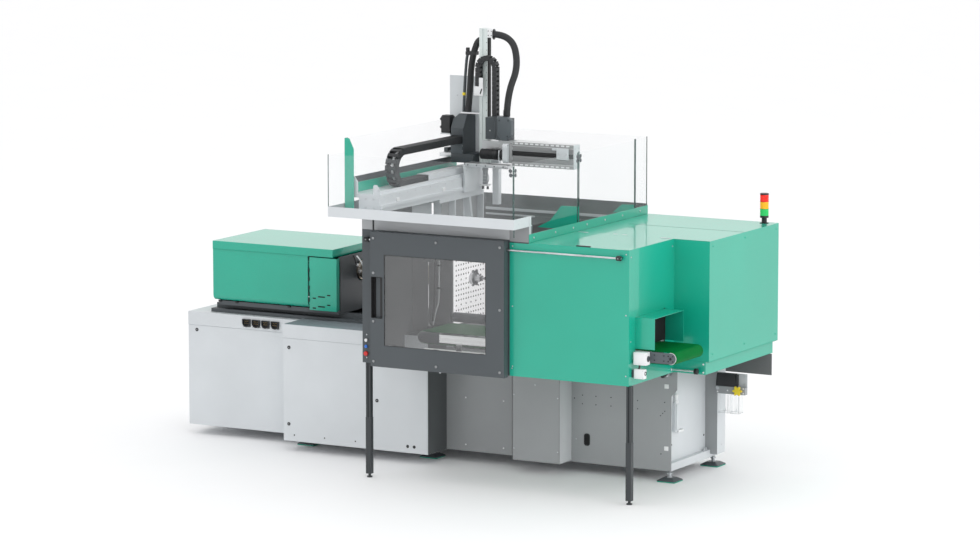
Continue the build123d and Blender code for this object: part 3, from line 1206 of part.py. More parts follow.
# Clear guards round the deck
with BuildPart() as clear_guards:
    pane_floor = LEDGE_BOTTOM + SHEET
    inner_left = LEDGE_LEFT + SHEET
    inner_right = LEDGE_RIGHT - SHEET
    inner_front = LEDGE_FRONT + SHEET
    block((inner_left, inner_right), (inner_front, inner_front + PANE), (pane_floor, PANE_TOP))
    side_y = (inner_front + PANE + 1, PANE_SPLIT_Y - 1)
    block((inner_right - PANE, inner_right), side_y, (pane_floor, PANE_TOP))
    rear_side_y = (GUSSET_Y + SHEET, DECK_BACK - SHEET)
    block((LEDGE_RIGHT - PANE, LEDGE_RIGHT), rear_side_y, (GUARD_TOP, PANE_TOP))
    rear_y = (DECK_BACK - SHEET - PANE, DECK_BACK - SHEET)
    block((inner_left + PANE + 1, LEDGE_RIGHT - PANE - 1), rear_y, (REAR_WALL_TOP - 90, PANE_TOP + 8))
    low_y = (inner_front + PANE + 1, GUARD_FRONT - 1)
    block((inner_left, inner_left + PANE), low_y, (pane_floor, PANE_TOP - 6))
    block((inner_left, inner_left + PANE), (GUARD_FRONT, DECK_BACK - SHEET), (pane_floor, HIGH_PANE_TOP))
clear_guards.part.label = "clear_guards"
export_step(clear_guards.part, "parts/clear_guards.step")

# Robot pedestal on the fixed platen, and the cross beam with its rails
BEAM_X = (BEAM_LEFT, BEAM_RIGHT)
with BuildPart() as robot_beam:
    block(BEAM_X, (BEAM_NEAR, BEAM_FAR), (BEAM_BOTTOM, BEAM_TOP))
    top_rail_right = BEAM_RIGHT - 20
    top_rail_x = (top_rail_right - GUIDE_RAIL, top_rail_right)
    block(top_rail_x, (BEAM_NEAR, BEAM_FAR), (BEAM_TOP, BEAM_TOP + GUIDE_RAIL))
    side_rail_z = (BEAM_BOTTOM + 35, BEAM_BOTTOM + 35 + GUIDE_RAIL)
    side_rail_x = (BEAM_RIGHT, CARRIAGE_SIDE_LEFT - SLIDE_GAP)
    block(side_rail_x, (BEAM_NEAR, BEAM_FAR), side_rail_z)
with BuildPart() as pedestal:
    foot_x = (FIXED_PLATEN_BACK, FIXED_PLATEN_FACE)
    block(foot_x, (PEDESTAL_NEAR + 80, PEDESTAL_FAR), (PLATEN_TOP, PLATEN_TOP + PEDESTAL_FLANGE))
    web_z = (PLATEN_TOP + PEDESTAL_FLANGE, BEAM_BOTTOM - PEDESTAL_FLANGE)
    block((PEDESTAL_WEB_LEFT, PEDESTAL_WEB_RIGHT), (PEDESTAL_NEAR + 120, PEDESTAL_FAR), web_z)
    block(BEAM_X, (PEDESTAL_NEAR, PEDESTAL_FAR), (BEAM_BOTTOM - PEDESTAL_FLANGE, BEAM_BOTTOM))
    for rib_y in (330, PEDESTAL_FAR - 14):
        block((PEDESTAL_WEB_RIGHT, BEAM_RIGHT), (rib_y, rib_y + 14), web_z)
    rib_x = end_plane(PEDESTAL_WEB_RIGHT)
    lean = 55
    outline(
        rib_x,
        [
            (560, web_z[1]),
            (590, web_z[1]),
            (590 + lean, web_z[0]),
            (560 + lean, web_z[0]),
        ],
        BEAM_RIGHT - PEDESTAL_WEB_RIGHT,
    )
beam_assembly = Compound(children=[*robot_beam.part.solids(), *pedestal.part.solids()])
beam_assembly.label = "robot_beam"
export_step(beam_assembly, "parts/robot_beam.step")

# Cable tray beside the rail, its horned end plates and the trunk of the lower chain run
TRAY_FLOOR = BEAM_TOP
with BuildPart() as cable_tray:
    tray_z = (TRAY_FLOOR, TRAY_FLOOR + TRAY_SHEET)
    block((TRAY_LEFT, TRAY_FLOOR_RIGHT), (BEAM_NEAR, TRAY_FAR), tray_z)
    block((TRAY_LEFT, TRAY_LEFT + TRAY_SHEET), (BEAM_NEAR, TRAY_FAR), (TRAY_FLOOR, TRAY_WALL_TOP))
    outline(
        front_plane(BEAM_NEAR),
        [
            (TRAY_LEFT, 2185),
            (TRAY_LEFT, TRAY_WALL_TOP - 12),
            (TRAY_LEFT + 12, TRAY_WALL_TOP),
            (TRAY_LEFT + 24, TRAY_WALL_TOP),
            (TRAY_LEFT + 50, 2310),
            (TRAY_LEFT + 50, tray_z[1]),
            (TRAY_FLOOR_RIGHT, tray_z[1]),
            (TRAY_FLOOR_RIGHT, 2284),
            (TRAY_FLOOR_RIGHT + 10, 2292),
            (TRAY_FLOOR_RIGHT + 32, 2292),
            (BEAM_RIGHT, 2250),
            (BEAM_RIGHT, BEAM_BOTTOM + 15),
            (BEAM_LEFT, BEAM_BOTTOM + 15),
            (BEAM_LEFT, 2185),
        ],
        6,
    )
with BuildPart() as chain_trunk:
    trunk_x = (CHAIN_LEFT - TRUNK_CLEARANCE - 3, CHAIN_RIGHT + TRUNK_CLEARANCE + 3)
    trunk_top = CHAIN_BOTTOM + CHAIN_THICKNESS + TRUNK_CLEARANCE
    block(trunk_x, (TRUNK_NEAR, TRAY_FAR), (tray_z[1], trunk_top + 3))
    trunk_inner_x = (trunk_x[0] + 3, trunk_x[1] - 3)
    block(trunk_inner_x, (TRUNK_NEAR, TRAY_FAR), (tray_z[1], trunk_top), Mode.SUBTRACT)
tray_assembly = Compound(children=[*cable_tray.part.solids(), *chain_trunk.part.solids()])
tray_assembly.label = "cable_tray"
export_step(tray_assembly, "parts/cable_tray.step")

# Cross energy chain: a band that bends over itself, cut into links by slots on its outside
CHAIN_MIDDLE_Z = CHAIN_BOTTOM + CHAIN_BEND_OUTER
BEND_MIDDLE = CHAIN_BEND_OUTER - CHAIN_THICKNESS / 2
with BuildPart() as cross_chain:
    with BuildSketch(end_plane(CHAIN_LEFT)):
        with Locations((CHAIN_BEND_Y, CHAIN_MIDDLE_Z)):
            Circle(CHAIN_BEND_OUTER)
            Circle(CHAIN_BEND_OUTER - CHAIN_THICKNESS, mode=Mode.SUBTRACT)
        cut_middle = CHAIN_BEND_Y + CHAIN_BEND_OUTER / 2
        with Locations((cut_middle, CHAIN_MIDDLE_Z)):
            Rectangle(CHAIN_BEND_OUTER, 2 * CHAIN_BEND_OUTER, mode=Mode.SUBTRACT)
    extrude(amount=CHAIN_RIGHT - CHAIN_LEFT)
    chain_x = (CHAIN_LEFT, CHAIN_RIGHT)
    upper_z = (CHAIN_MIDDLE_Z + CHAIN_BEND_OUTER - CHAIN_THICKNESS, CHAIN_MIDDLE_Z + CHAIN_BEND_OUTER)
    block(chain_x, (CHAIN_BEND_Y, CHAIN_UPPER_END), upper_z)
    block(chain_x, (CHAIN_BEND_Y, CHAIN_LOWER_END), (CHAIN_BOTTOM, CHAIN_BOTTOM + CHAIN_THICKNESS))
    slot_x = (CHAIN_LEFT + 14, CHAIN_RIGHT - 14)
    slot_number = int((CHAIN_UPPER_END - 180 - CHAIN_BEND_Y) / CHAIN_PITCH)
    for number in range(slot_number):
        slot_y = CHAIN_BEND_Y + 20 + number * CHAIN_PITCH
        block(slot_x, (slot_y, slot_y + CHAIN_GAP), upper_z, Mode.SUBTRACT)
    for number in range(6):
        turn = radians(100 + number * 30)
        slot_plane = Plane(
            origin=(
                slot_x[0],
                CHAIN_BEND_Y + BEND_MIDDLE * cos(turn),
                CHAIN_MIDDLE_Z + BEND_MIDDLE * sin(turn),
            ),
            x_dir=(0, cos(turn), sin(turn)),
            z_dir=(1, 0, 0),
        )
        with BuildSketch(slot_plane):
            Rectangle(CHAIN_THICKNESS + 10, CHAIN_GAP)
        extrude(amount=slot_x[1] - slot_x[0], mode=Mode.SUBTRACT)
cross_chain.part.label = "cross_chain"
export_step(cross_chain.part, "parts/cross_chain.step")

# Carriage on the cross beam: base block, side plate, console of the lengthwise beam
with BuildPart() as robot_carriage:
    carriage_y = (CARRIAGE_FRONT, CARRIAGE_BACK)
    block((LEFT_COVER_LEFT, CARRIAGE_SIDE_RIGHT), carriage_y, (CARRIAGE_BOTTOM, CARRIAGE_TOP))
    block((CARRIAGE_LEFT, LEFT_COVER_LEFT), carriage_y, (CARRIAGE_TOP - 30, CARRIAGE_TOP))
    hanging_back = CARRIAGE_BACK - BACK_PLATE
    runner_x = (top_rail_right - GUIDE_RAIL - 8, top_rail_right + 8)
    runner_z = (BEAM_TOP + GUIDE_RAIL + SLIDE_GAP, CARRIAGE_BOTTOM)
    block(runner_x, (CARRIAGE_FRONT, hanging_back), runner_z)
    side_y = (XBEAM_FRONT, hanging_back)
    block((CARRIAGE_SIDE_LEFT, CARRIAGE_SIDE_RIGHT), side_y, (CARRIAGE_SIDE_BOTTOM, CONSOLE_TOP))
    block((CARRIAGE_SIDE_RIGHT, CONSOLE_RIGHT), (XBEAM_FRONT, XBEAM_BACK), (CONSOLE_BOTTOM, CONSOLE_TOP))
    duct_y = (COLUMN_FRONT + COLUMN_DEPTH + 15, hanging_back)
    block((CARRIAGE_SIDE_RIGHT, DUCT_RIGHT), duct_y, (CONSOLE_TOP - 30, CONSOLE_TOP))
    block((DUCT_RIGHT - DUCT_WIDTH, DUCT_RIGHT), duct_y, (DUCT_BOTTOM, CONSOLE_TOP - 30))
    plate_y = (CARRIAGE_BACK, CARRIAGE_BACK + BACK_PLATE)
    block((CARRIAGE_BACK_LEFT, BACK_PLATE_RIGHT), plate_y, (CARRIAGE_TOP - 30, BACK_PLATE_TOP))
    block((LEFT_COVER_LEFT, CARRIAGE_SIDE_RIGHT), plate_y, (CARRIAGE_BOTTOM, CARRIAGE_TOP - 30))
    passage_x = (CHAIN_LEFT - 3, CHAIN_RIGHT + 3)
    passage_z = (upper_z[0] - 4, upper_z[1] + 4)
    block(passage_x, plate_y, passage_z, Mode.SUBTRACT)
robot_carriage.part.label = "robot_carriage"
export_step(robot_carriage.part, "parts/robot_carriage.step")

# Left cover over the carriage: slanted front, open below for the chain
with BuildPart() as left_cover:
    cover_profile = [
        (CARRIAGE_FRONT, CARRIAGE_TOP),
        (CARRIAGE_BACK, CARRIAGE_TOP),
        (CARRIAGE_BACK, LEFT_COVER_TOP),
        (CARRIAGE_FRONT + 60, LEFT_COVER_TOP),
        (CARRIAGE_FRONT, LEFT_COVER_TOP - 110),
    ]
    outline(end_plane(LEFT_COVER_LEFT), cover_profile, LEFT_COVER_RIGHT - LEFT_COVER_LEFT)
    chamfer(left_cover.edges().filter_by(Axis.Y).group_by(Axis.Z)[-1].sort_by(Axis.X)[0], 40)
    block(passage_x, carriage_y, (CARRIAGE_TOP, passage_z[1]), Mode.SUBTRACT)
left_cover.part.label = "left_cover"
export_step(left_cover.part, "parts/left_cover.step")

# Motors: the upright one of the carriage and the lying one of the lengthwise beam
with BuildPart() as robot_motors:
    lift_x = (CARRIAGE_LEFT, CARRIAGE_LEFT + LIFT_MOTOR_SIDE)
    lift_y = (CARRIAGE_FRONT + 10, CARRIAGE_FRONT + 10 + LIFT_MOTOR_SIDE)
    block(lift_x, lift_y, (LIFT_MOTOR_BOTTOM, LIFT_MOTOR_TOP))
    gear_x = (lift_x[0] + 12, lift_x[1] - 12)
    gear_y = (lift_y[0] + 12, lift_y[1] - 12)
    block(gear_x, gear_y, (CARRIAGE_TOP, LIFT_MOTOR_BOTTOM))
    plug_y = (lift_y[0] + 20, lift_y[1] - 30)
    block((lift_x[0] - 18, lift_x[0]), plug_y, (LIFT_MOTOR_TOP - 60, LIFT_MOTOR_TOP - 15))
    block((lift_x[0] - 16, lift_x[0]), plug_y, (LIFT_MOTOR_BOTTOM + 8, LIFT_MOTOR_BOTTOM + 68))
    motor_y = (XBEAM_FRONT + 8, XBEAM_FRONT + 8 + MOTOR_SIDE)
    block((MOTOR_LEFT, XBEAM_LEFT - 40), motor_y, (MOTOR_BOTTOM, MOTOR_BOTTOM + MOTOR_SIDE))
    motor_centre = ((motor_y[0] + motor_y[1]) / 2, MOTOR_BOTTOM + MOTOR_SIDE / 2)
    rod(end_plane(XBEAM_LEFT - 40), motor_centre, MOTOR_SIDE * 0.52, 40)
robot_motors.part.label = "robot_motors"
export_step(robot_motors.part, "parts/robot_motors.step")

# Lengthwise beam with its lobed end cap, rails and belt channel
with BuildPart() as length_beam:
    beam_middle = ((XBEAM_FRONT + XBEAM_BACK) / 2, (CONSOLE_TOP + XBEAM_TOP) / 2)
    beam_depth = XBEAM_BACK - XBEAM_FRONT
    beam_height = XBEAM_TOP - CONSOLE_TOP
    with BuildSketch(end_plane(XBEAM_LEFT + XBEAM_CAP)):
        with Locations(beam_middle):
            Rectangle(beam_depth, beam_height)
        for level in (-1, 1):
            with Locations((XBEAM_FRONT, beam_middle[1] + level * beam_height * 0.36)):
                Rectangle(16, 18, mode=Mode.SUBTRACT)
        with Locations((XBEAM_FRONT, beam_middle[1])):
            Rectangle(24, beam_height * 0.36, mode=Mode.SUBTRACT)
    extrude(amount=XBEAM_RIGHT - 12 - XBEAM_LEFT - XBEAM_CAP)
    block((XBEAM_RIGHT - 12, XBEAM_RIGHT), (XBEAM_FRONT, XBEAM_BACK), (CONSOLE_TOP, XBEAM_TOP))
with BuildPart() as beam_cap:
    with BuildSketch(end_plane(XBEAM_LEFT)):
        with Locations(beam_middle):
            Rectangle(beam_depth, beam_height)
    extrude(amount=XBEAM_CAP)
    chamfer(beam_cap.edges().filter_by(Axis.X), 24)
with BuildPart() as belt_clamp:
    block((XBEAM_RIGHT - 110, XBEAM_RIGHT - 22), (XBEAM_FRONT - 14, XBEAM_FRONT), (2400, 2476))
length_assembly = Compound(
    children=[*length_beam.part.solids(), *beam_cap.part.solids(), *belt_clamp.part.solids()]
)
length_assembly.label = "length_beam"
export_step(length_assembly, "parts/length_beam.step")

# Slide on the rear of the lengthwise beam, with the guide head of the column and the hose arm
SADDLE_FRONT = XBEAM_BACK + SADDLE_GAP
SADDLE_BACK = SADDLE_FRONT + SADDLE_THICKNESS
COLUMN_RIGHT = COLUMN_LEFT + COLUMN_WIDTH
COLUMN_BACK = COLUMN_FRONT + COLUMN_DEPTH
step_x = HOUSING_LEFT + HOUSING_STEP
with BuildPart() as column_slide:
    block((SADDLE_LEFT, SADDLE_RIGHT), (SADDLE_FRONT, SADDLE_BACK), (CONSOLE_TOP + 20, XBEAM_TOP))
    for guide_z in (2380, 2460):
        guide_x = (SADDLE_LEFT + 150, SADDLE_RIGHT)
        block(guide_x, (XBEAM_BACK + SLIDE_GAP, SADDLE_FRONT), (guide_z, guide_z + 20))
    head_x = (COLUMN_RIGHT + SLIDE_GAP, HEAD_RIGHT)
    head_z = (CONSOLE_TOP + 30, XBEAM_TOP - 20)
    block((head_x[0], SADDLE_LEFT), (SADDLE_FRONT, SADDLE_BACK), head_z)
    block(head_x, (SADDLE_BACK, COLUMN_BACK), head_z)
    back_plate_y = (COLUMN_BACK + SLIDE_GAP, COLUMN_BACK + HEAD_SHEET)
    block((HOSE_ARM_LEFT, head_x[1]), back_plate_y, head_z)
    block((HOSE_ARM_LEFT, HOSE_ARM_LEFT + HOSE_ARM_WIDTH), back_plate_y, (head_z[1], HOSE_ARM_TOP))
    arm_z = (HOSE_ARM_TOP - HEAD_SHEET, HOSE_ARM_TOP)
    block((HOSE_ARM_END, HOSE_ARM_LEFT + HOSE_ARM_WIDTH), (HOSE_Y - 30, back_plate_y[1]), arm_z)
    stay_x = (step_x - HOUSING_SHEET - STAY, step_x - HOUSING_SHEET)
    block(stay_x, (SADDLE_FRONT, SADDLE_BACK), (XBEAM_TOP, HOUSING_TOP - HOUSING_SHEET))
column_slide.part.label = "column_slide"
export_step(column_slide.part, "parts/column_slide.step")

# Right cover over the slide: open below, with a bulged and chamfered front
with BuildPart() as right_cover:
    recess_y = XBEAM_FRONT + HOUSING_RECESS
    with BuildSketch(Plane.XY.offset(HOUSING_BOTTOM)) as housing_plan:
        with BuildLine():
            Polyline(
                (HOUSING_LEFT, recess_y),
                (step_x, recess_y),
                (step_x + HOUSING_RECESS, XBEAM_FRONT),
                (HOUSING_RIGHT, XBEAM_FRONT),
                (HOUSING_RIGHT, BULGE_BACK),
                (step_x, BULGE_BACK),
                (step_x, HOUSING_BACK),
                (HOUSING_LEFT, HOUSING_BACK),
                close=True,
            )
        make_face()
    extrude(housing_plan.sketch, amount=HOUSING_TOP - HOUSING_BOTTOM)
    with BuildSketch(Plane.XY.offset(HOUSING_BOTTOM)) as housing_hollow:
        offset(housing_plan.sketch, amount=-HOUSING_SHEET, kind=Kind.INTERSECTION)
    extrude(housing_hollow.sketch, amount=HOUSING_TOP - HOUSING_SHEET - HOUSING_BOTTOM, mode=Mode.SUBTRACT)
    leg_x = (ZCHAIN_CENTRE + ZCHAIN_OUTER - ZCHAIN_THICKNESS - 3, ZCHAIN_CENTRE + ZCHAIN_OUTER + 3)
    leg_y = (ZCHAIN_FRONT - 3, ZCHAIN_FRONT + ZCHAIN_WIDTH + 3)
    block(leg_x, leg_y, (HOUSING_TOP - HOUSING_SHEET, HOUSING_TOP), Mode.SUBTRACT)
right_cover.part.label = "right_cover"
export_step(right_cover.part, "parts/right_cover.step")

# Column of the robot with its hose block and chain bracket
with BuildPart() as column:
    with BuildSketch(Plane.XY.offset(COLUMN_BOTTOM)):
        with Locations((COLUMN_LEFT + COLUMN_WIDTH / 2, COLUMN_FRONT + COLUMN_DEPTH / 2)):
            Rectangle(COLUMN_WIDTH, COLUMN_DEPTH)
        with Locations((COLUMN_RIGHT, COLUMN_FRONT + COLUMN_DEPTH / 2)):
            Rectangle(12, 34, mode=Mode.SUBTRACT)
    extrude(amount=COLUMN_TOP - COLUMN_BOTTOM)
    block((COLUMN_RIGHT, COLUMN_RIGHT + 48), (COLUMN_FRONT, COLUMN_FRONT + 60), (COLUMN_TOP - 72, COLUMN_TOP))
    anchor_right = ZCHAIN_CENTRE - ZCHAIN_OUTER + ZCHAIN_THICKNESS
    anchor_z = (ZCHAIN_TAIL_END, ZCHAIN_LEFT_END)
    block((anchor_right + 0.5, anchor_right + 4), (ZCHAIN_FRONT - 5, COLUMN_FRONT), anchor_z)
    block((COLUMN_LEFT - 8, anchor_right + 4), (ZCHAIN_FRONT - 5, ZCHAIN_FRONT - 1), anchor_z)
    clamp_y = (COLUMN_FRONT + 10, COLUMN_FRONT + COLUMN_DEPTH)
    block((CLAMP_ARM_LEFT, COLUMN_LEFT), clamp_y, (CLAMP_ARM_Z, CLAMP_ARM_Z + 30))
    for hose_x, radius in ((THICK_HOSE_X, LEFT_HOSE_RADIUS), (THIN_HOSE_X, THIN_HOSE_RADIUS)):
        rod(Plane.XY.offset(CLAMP_ARM_Z), (hose_x, HOSE_Y), radius + 0.4, 30, Mode.SUBTRACT)
with BuildPart() as wrist_fork:
    WRIST_X = COLUMN_LEFT + COLUMN_WIDTH / 2
    cap_z = (COLUMN_BOTTOM - 14, COLUMN_BOTTOM)
    block((COLUMN_LEFT, COLUMN_RIGHT), (COLUMN_FRONT, COLUMN_BACK), cap_z)
    for cheek_y in (COLUMN_FRONT, COLUMN_BACK - CHEEK):
        block((WRIST_X - 20, WRIST_X + 20), (cheek_y, cheek_y + CHEEK), (WRIST_PIN_Z - 20, cap_z[0]))
    rod(front_plane(COLUMN_BACK), (WRIST_X, WRIST_PIN_Z), WRIST_PIN_RADIUS, COLUMN_DEPTH)
column_assembly = Compound(children=[*column.part.solids(), *wrist_fork.part.solids()])
column_assembly.label = "column"
export_step(column_assembly, "parts/column.step")

# Upright energy chain: two legs joined by an arch, slotted into links
ARCH_Z = ZCHAIN_TOP - ZCHAIN_OUTER
with BuildPart() as upright_chain:
    with BuildSketch(front_plane(ZCHAIN_FRONT + ZCHAIN_WIDTH)):
        with Locations((ZCHAIN_CENTRE, ARCH_Z)):
            Circle(ZCHAIN_OUTER)
            Circle(ZCHAIN_OUTER - ZCHAIN_THICKNESS, mode=Mode.SUBTRACT)
        with Locations((ZCHAIN_CENTRE, ARCH_Z - ZCHAIN_OUTER / 2)):
            Rectangle(2 * ZCHAIN_OUTER, ZCHAIN_OUTER, mode=Mode.SUBTRACT)
    extrude(amount=ZCHAIN_WIDTH)
    chain_y = (ZCHAIN_FRONT, ZCHAIN_FRONT + ZCHAIN_WIDTH)
    left_leg = (ZCHAIN_CENTRE - ZCHAIN_OUTER, ZCHAIN_CENTRE - ZCHAIN_OUTER + ZCHAIN_THICKNESS)
    right_leg = (ZCHAIN_CENTRE + ZCHAIN_OUTER - ZCHAIN_THICKNESS, ZCHAIN_CENTRE + ZCHAIN_OUTER)
    block(left_leg, chain_y, (ZCHAIN_TAIL_END, ARCH_Z))
    block(right_leg, chain_y, (ZCHAIN_RIGHT_END, ARCH_Z))
    for number in range(9):
        slot_z = ARCH_Z - 24 - number * ZCHAIN_PITCH
        inner_y = (chain_y[0] + 10, chain_y[1] - 10)
        slot_reach = (right_leg[1] - ZCHAIN_THICKNESS, right_leg[1])
        block(slot_reach, inner_y, (slot_z - 12, slot_z), Mode.SUBTRACT)
upright_chain.part.label = "upright_chain"
export_step(upright_chain.part, "parts/upright_chain.step")

# Gripper that tilts on the pin of the fork, with two suction cups
with BuildPart() as gripper:
    arm_y = (COLUMN_FRONT + CHEEK + SLIDE_GAP, COLUMN_BACK - CHEEK - SLIDE_GAP)
    rod(front_plane(arm_y[1]), (WRIST_X, WRIST_PIN_Z), 20, arm_y[1] - arm_y[0])
    block((WRIST_X - 15, WRIST_X + 15), arm_y, (GRIPPER_BOTTOM + 40, WRIST_PIN_Z))
    plate_x = (WRIST_X - CUP_PLATE_HALF, WRIST_X + CUP_PLATE_HALF)
    block(plate_x, (COLUMN_FRONT + 5, COLUMN_BACK - 5), (GRIPPER_BOTTOM + 28, GRIPPER_BOTTOM + 40))
    for cup_x in (WRIST_X - 22, WRIST_X + 22):
        rod(Plane.XY.offset(GRIPPER_BOTTOM), (cup_x, COLUMN_FRONT + COLUMN_DEPTH / 2), 11, 28)
    pin_bore = WRIST_PIN_RADIUS + RUNNING_FIT
    rod(front_plane(arm_y[1]), (WRIST_X, WRIST_PIN_Z), pin_bore, arm_y[1] - arm_y[0], Mode.SUBTRACT)
gripper.part.label = "gripper"
export_step(gripper.part, "parts/gripper.step")

# Hoses of the robot: a wide loop to the right cover, a thick and a slim one to the left
loop_z = COLUMN_TOP - 38
with BuildPart() as right_hose:
    tube(
        [
            (COLUMN_RIGHT + 48.5, HOSE_Y - 10, loop_z),
            (COLUMN_RIGHT + 215, HOSE_Y - 10, loop_z),
            (345, 590, 3110),
            (RIGHT_HOSE_X, RIGHT_HOSE_Y, HOUSING_TOP + 110),
            (RIGHT_HOSE_X, RIGHT_HOSE_Y, HOUSING_TOP + 0.5),
        ],
        [140, 260, 100],
        HOSE_RADIUS,
    )
with BuildPart() as left_hoses:
    for hose_x, radius in ((THICK_HOSE_X, LEFT_HOSE_RADIUS), (THIN_HOSE_X, THIN_HOSE_RADIUS)):
        tube(
            [
                (COLUMN_LEFT - 0.5, HOSE_Y, LEFT_HOSE_TOP),
                (hose_x, HOSE_Y, LEFT_HOSE_TOP),
                (hose_x, HOSE_Y, HOSE_ARM_TOP + 0.5),
            ],
            [70],
            radius,
        )
hoses = Compound(children=[*right_hose.part.solids(), *left_hoses.part.solids()])
hoses.label = "robot_hoses"
export_step(hoses, "parts/robot_hoses.step")

# Tower light: black foot on a neck, three lenses and a cap
with BuildPart() as tower_foot:
    tower_spot = (TOWER_X, TOWER_Y)
    rod(Plane.XY.offset(GUARD_TOP), tower_spot, TOWER_RADIUS, 6)
    rod(Plane.XY.offset(GUARD_TOP + 6), tower_spot, TOWER_NECK_RADIUS, TOWER_NECK_TOP - GUARD_TOP - 6)
    rod(Plane.XY.offset(TOWER_NECK_TOP), tower_spot, TOWER_RADIUS, TOWER_FOOT_TOP - TOWER_NECK_TOP)
with BuildPart() as tower_cap:
    cap_foot = TOWER_FOOT_TOP + LENS_COUNT * (LENS_HEIGHT + LENS_GAP)
    rod(Plane.XY.offset(cap_foot), tower_spot, TOWER_RADIUS, TOWER_CAP)
    fillet(tower_cap.faces().sort_by(Axis.Z)[-1].edges(), 5)
tower_light = Compound(children=[*tower_foot.part.solids(), *tower_cap.part.solids()])
tower_light.label = "tower_light"
export_step(tower_light, "parts/tower_light.step")

with BuildPart() as tower_lenses:
    for number in range(LENS_COUNT):
        lens_bottom = TOWER_FOOT_TOP + number * (LENS_HEIGHT + LENS_GAP)
        rod(Plane.XY.offset(lens_bottom + LENS_GAP), tower_spot, TOWER_RADIUS, LENS_HEIGHT)
        rod(Plane.XY.offset(lens_bottom), tower_spot, TOWER_RADIUS * 0.8, LENS_GAP)
tower_lenses.part.label = "tower_lenses"
export_step(tower_lenses.part, "parts/tower_lenses.step")

# Service unit: valve block and bracket at the end bay's post
with BuildPart() as service_unit:
    block((SERVICE_LEFT, SERVICE_RIGHT), (SERVICE_FRONT, SERVICE_BACK), (SERVICE_BOTTOM, SERVICE_TOP))
    chamfer(service_unit.edges().filter_by(Axis.Y).group_by(Axis.Z)[-1], 10)
with BuildPart() as service_bracket:
    bracket_y = (SERVICE_BACK, SERVICE_BACK + 8)
    block((BAY_POST_RIGHT, BRACKET_RIGHT), bracket_y, (BRACKET_BOTTOM, SERVICE_TOP))
    block((SERVICE_LEFT, BRACKET_RIGHT), (SERVICE_FRONT, SERVICE_BACK), (BRACKET_BOTTOM, SERVICE_BOTTOM))
    rod(front_plane(SERVICE_FRONT), (KNOB_X, KNOB_Z), 9, KNOB_DEPTH + 8)
service_assembly = Compound(children=[*service_unit.part.solids(), *service_bracket.part.solids()])
service_assembly.label = "service_unit"
export_step(service_assembly, "parts/service_unit.step")

with BuildPart() as filter_bowls:
    for bowl_x, bowl_radius in ((SERVICE_LEFT + 76, 46), (SERVICE_LEFT + 172, 42)):
        bowl_spot = (bowl_x, (SERVICE_FRONT + SERVICE_BACK) / 2)
        rod(Plane.XY.offset(BOWL_BOTTOM), bowl_spot, bowl_radius, BRACKET_BOTTOM - BOWL_BOTTOM)
        bowl_floor = BOWL_BOTTOM + BOWL_FLOOR
        inner_radius = bowl_radius - BOWL_WALL
        rod(Plane.XY.offset(bowl_floor), bowl_spot, inner_radius, BRACKET_BOTTOM - bowl_floor, Mode.SUBTRACT)
filter_bowls.part.label = "filter_bowls"
export_step(filter_bowls.part, "parts/filter_bowls.step")

# Star knob of the shut-off valve
with BuildPart() as service_knob:
    with BuildSketch(front_plane(SERVICE_FRONT - SLIDE_GAP)):
        with Locations((KNOB_X, KNOB_Z)):
            Circle(KNOB_RADIUS)
            Circle(9 + RUNNING_FIT, mode=Mode.SUBTRACT)
            with PolarLocations(KNOB_RADIUS + 3, 8):
                Circle(8, mode=Mode.SUBTRACT)
    extrude(amount=KNOB_DEPTH)
service_knob.part.label = "service_knob"
export_step(service_knob.part, "parts/service_knob.step")
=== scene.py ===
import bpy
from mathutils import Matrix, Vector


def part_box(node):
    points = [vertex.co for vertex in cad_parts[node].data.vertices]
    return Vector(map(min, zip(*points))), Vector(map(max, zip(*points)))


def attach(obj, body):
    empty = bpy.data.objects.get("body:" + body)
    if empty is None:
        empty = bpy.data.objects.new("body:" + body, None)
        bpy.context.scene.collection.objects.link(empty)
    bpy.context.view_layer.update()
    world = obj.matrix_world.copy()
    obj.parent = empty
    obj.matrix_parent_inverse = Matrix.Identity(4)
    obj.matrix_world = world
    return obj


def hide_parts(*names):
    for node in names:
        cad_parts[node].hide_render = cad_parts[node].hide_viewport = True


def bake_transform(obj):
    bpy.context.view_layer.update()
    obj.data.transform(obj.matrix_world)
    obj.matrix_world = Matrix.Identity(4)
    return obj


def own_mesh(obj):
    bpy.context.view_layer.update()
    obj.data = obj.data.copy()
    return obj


bl_info = {
    "name": "Injection Moulding Machine",
    "version": (1, 0, 0),
    "blender": (4, 5, 0),
    "location": "3D View > Sidebar > Moulding Machine",
    "description": "Dresses the injection moulding machine with finishes and fine parts, and lights it",
    "category": "Object",
}

from itertools import product
from math import cos, hypot, pi, radians, sin

import bmesh
import bpy
from mathutils import Matrix, Vector

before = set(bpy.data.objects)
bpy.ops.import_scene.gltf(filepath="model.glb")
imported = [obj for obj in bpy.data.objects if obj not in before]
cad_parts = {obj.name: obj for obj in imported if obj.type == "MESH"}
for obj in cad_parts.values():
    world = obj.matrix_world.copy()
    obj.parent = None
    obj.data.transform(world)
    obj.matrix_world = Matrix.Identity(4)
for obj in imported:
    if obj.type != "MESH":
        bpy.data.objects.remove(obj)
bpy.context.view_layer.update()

MM = 0.001
SHARP = radians(32)

# Directions in the frame: the viewer is near, and the clamp end is to the right
NEAR, FAR = (0, -1, 0), (0, 1, 0)
LEFT, RIGHT = (-1, 0, 0), (1, 0, 0)
DOWN, UP = (0, 0, -1), (0, 0, 1)

# Where faces of the part lie that carry fine parts, in millimetres
CABINET_FACE, HYDRAULIC_FACE, BASE_FACE, BOX_FACE = 75, -213, 87, -113
DOOR_FACE, GUARD_FACE, UNIT_FACE = -948, -870, 102
GUARD_END, COVER_END, COVER_TOP = 2094, 2394, 1932

# Values of a noise pattern that count as its lowest and highest
NOISE_RANGE = (0.3, 0.7)


# Sizes and colours that a user would change


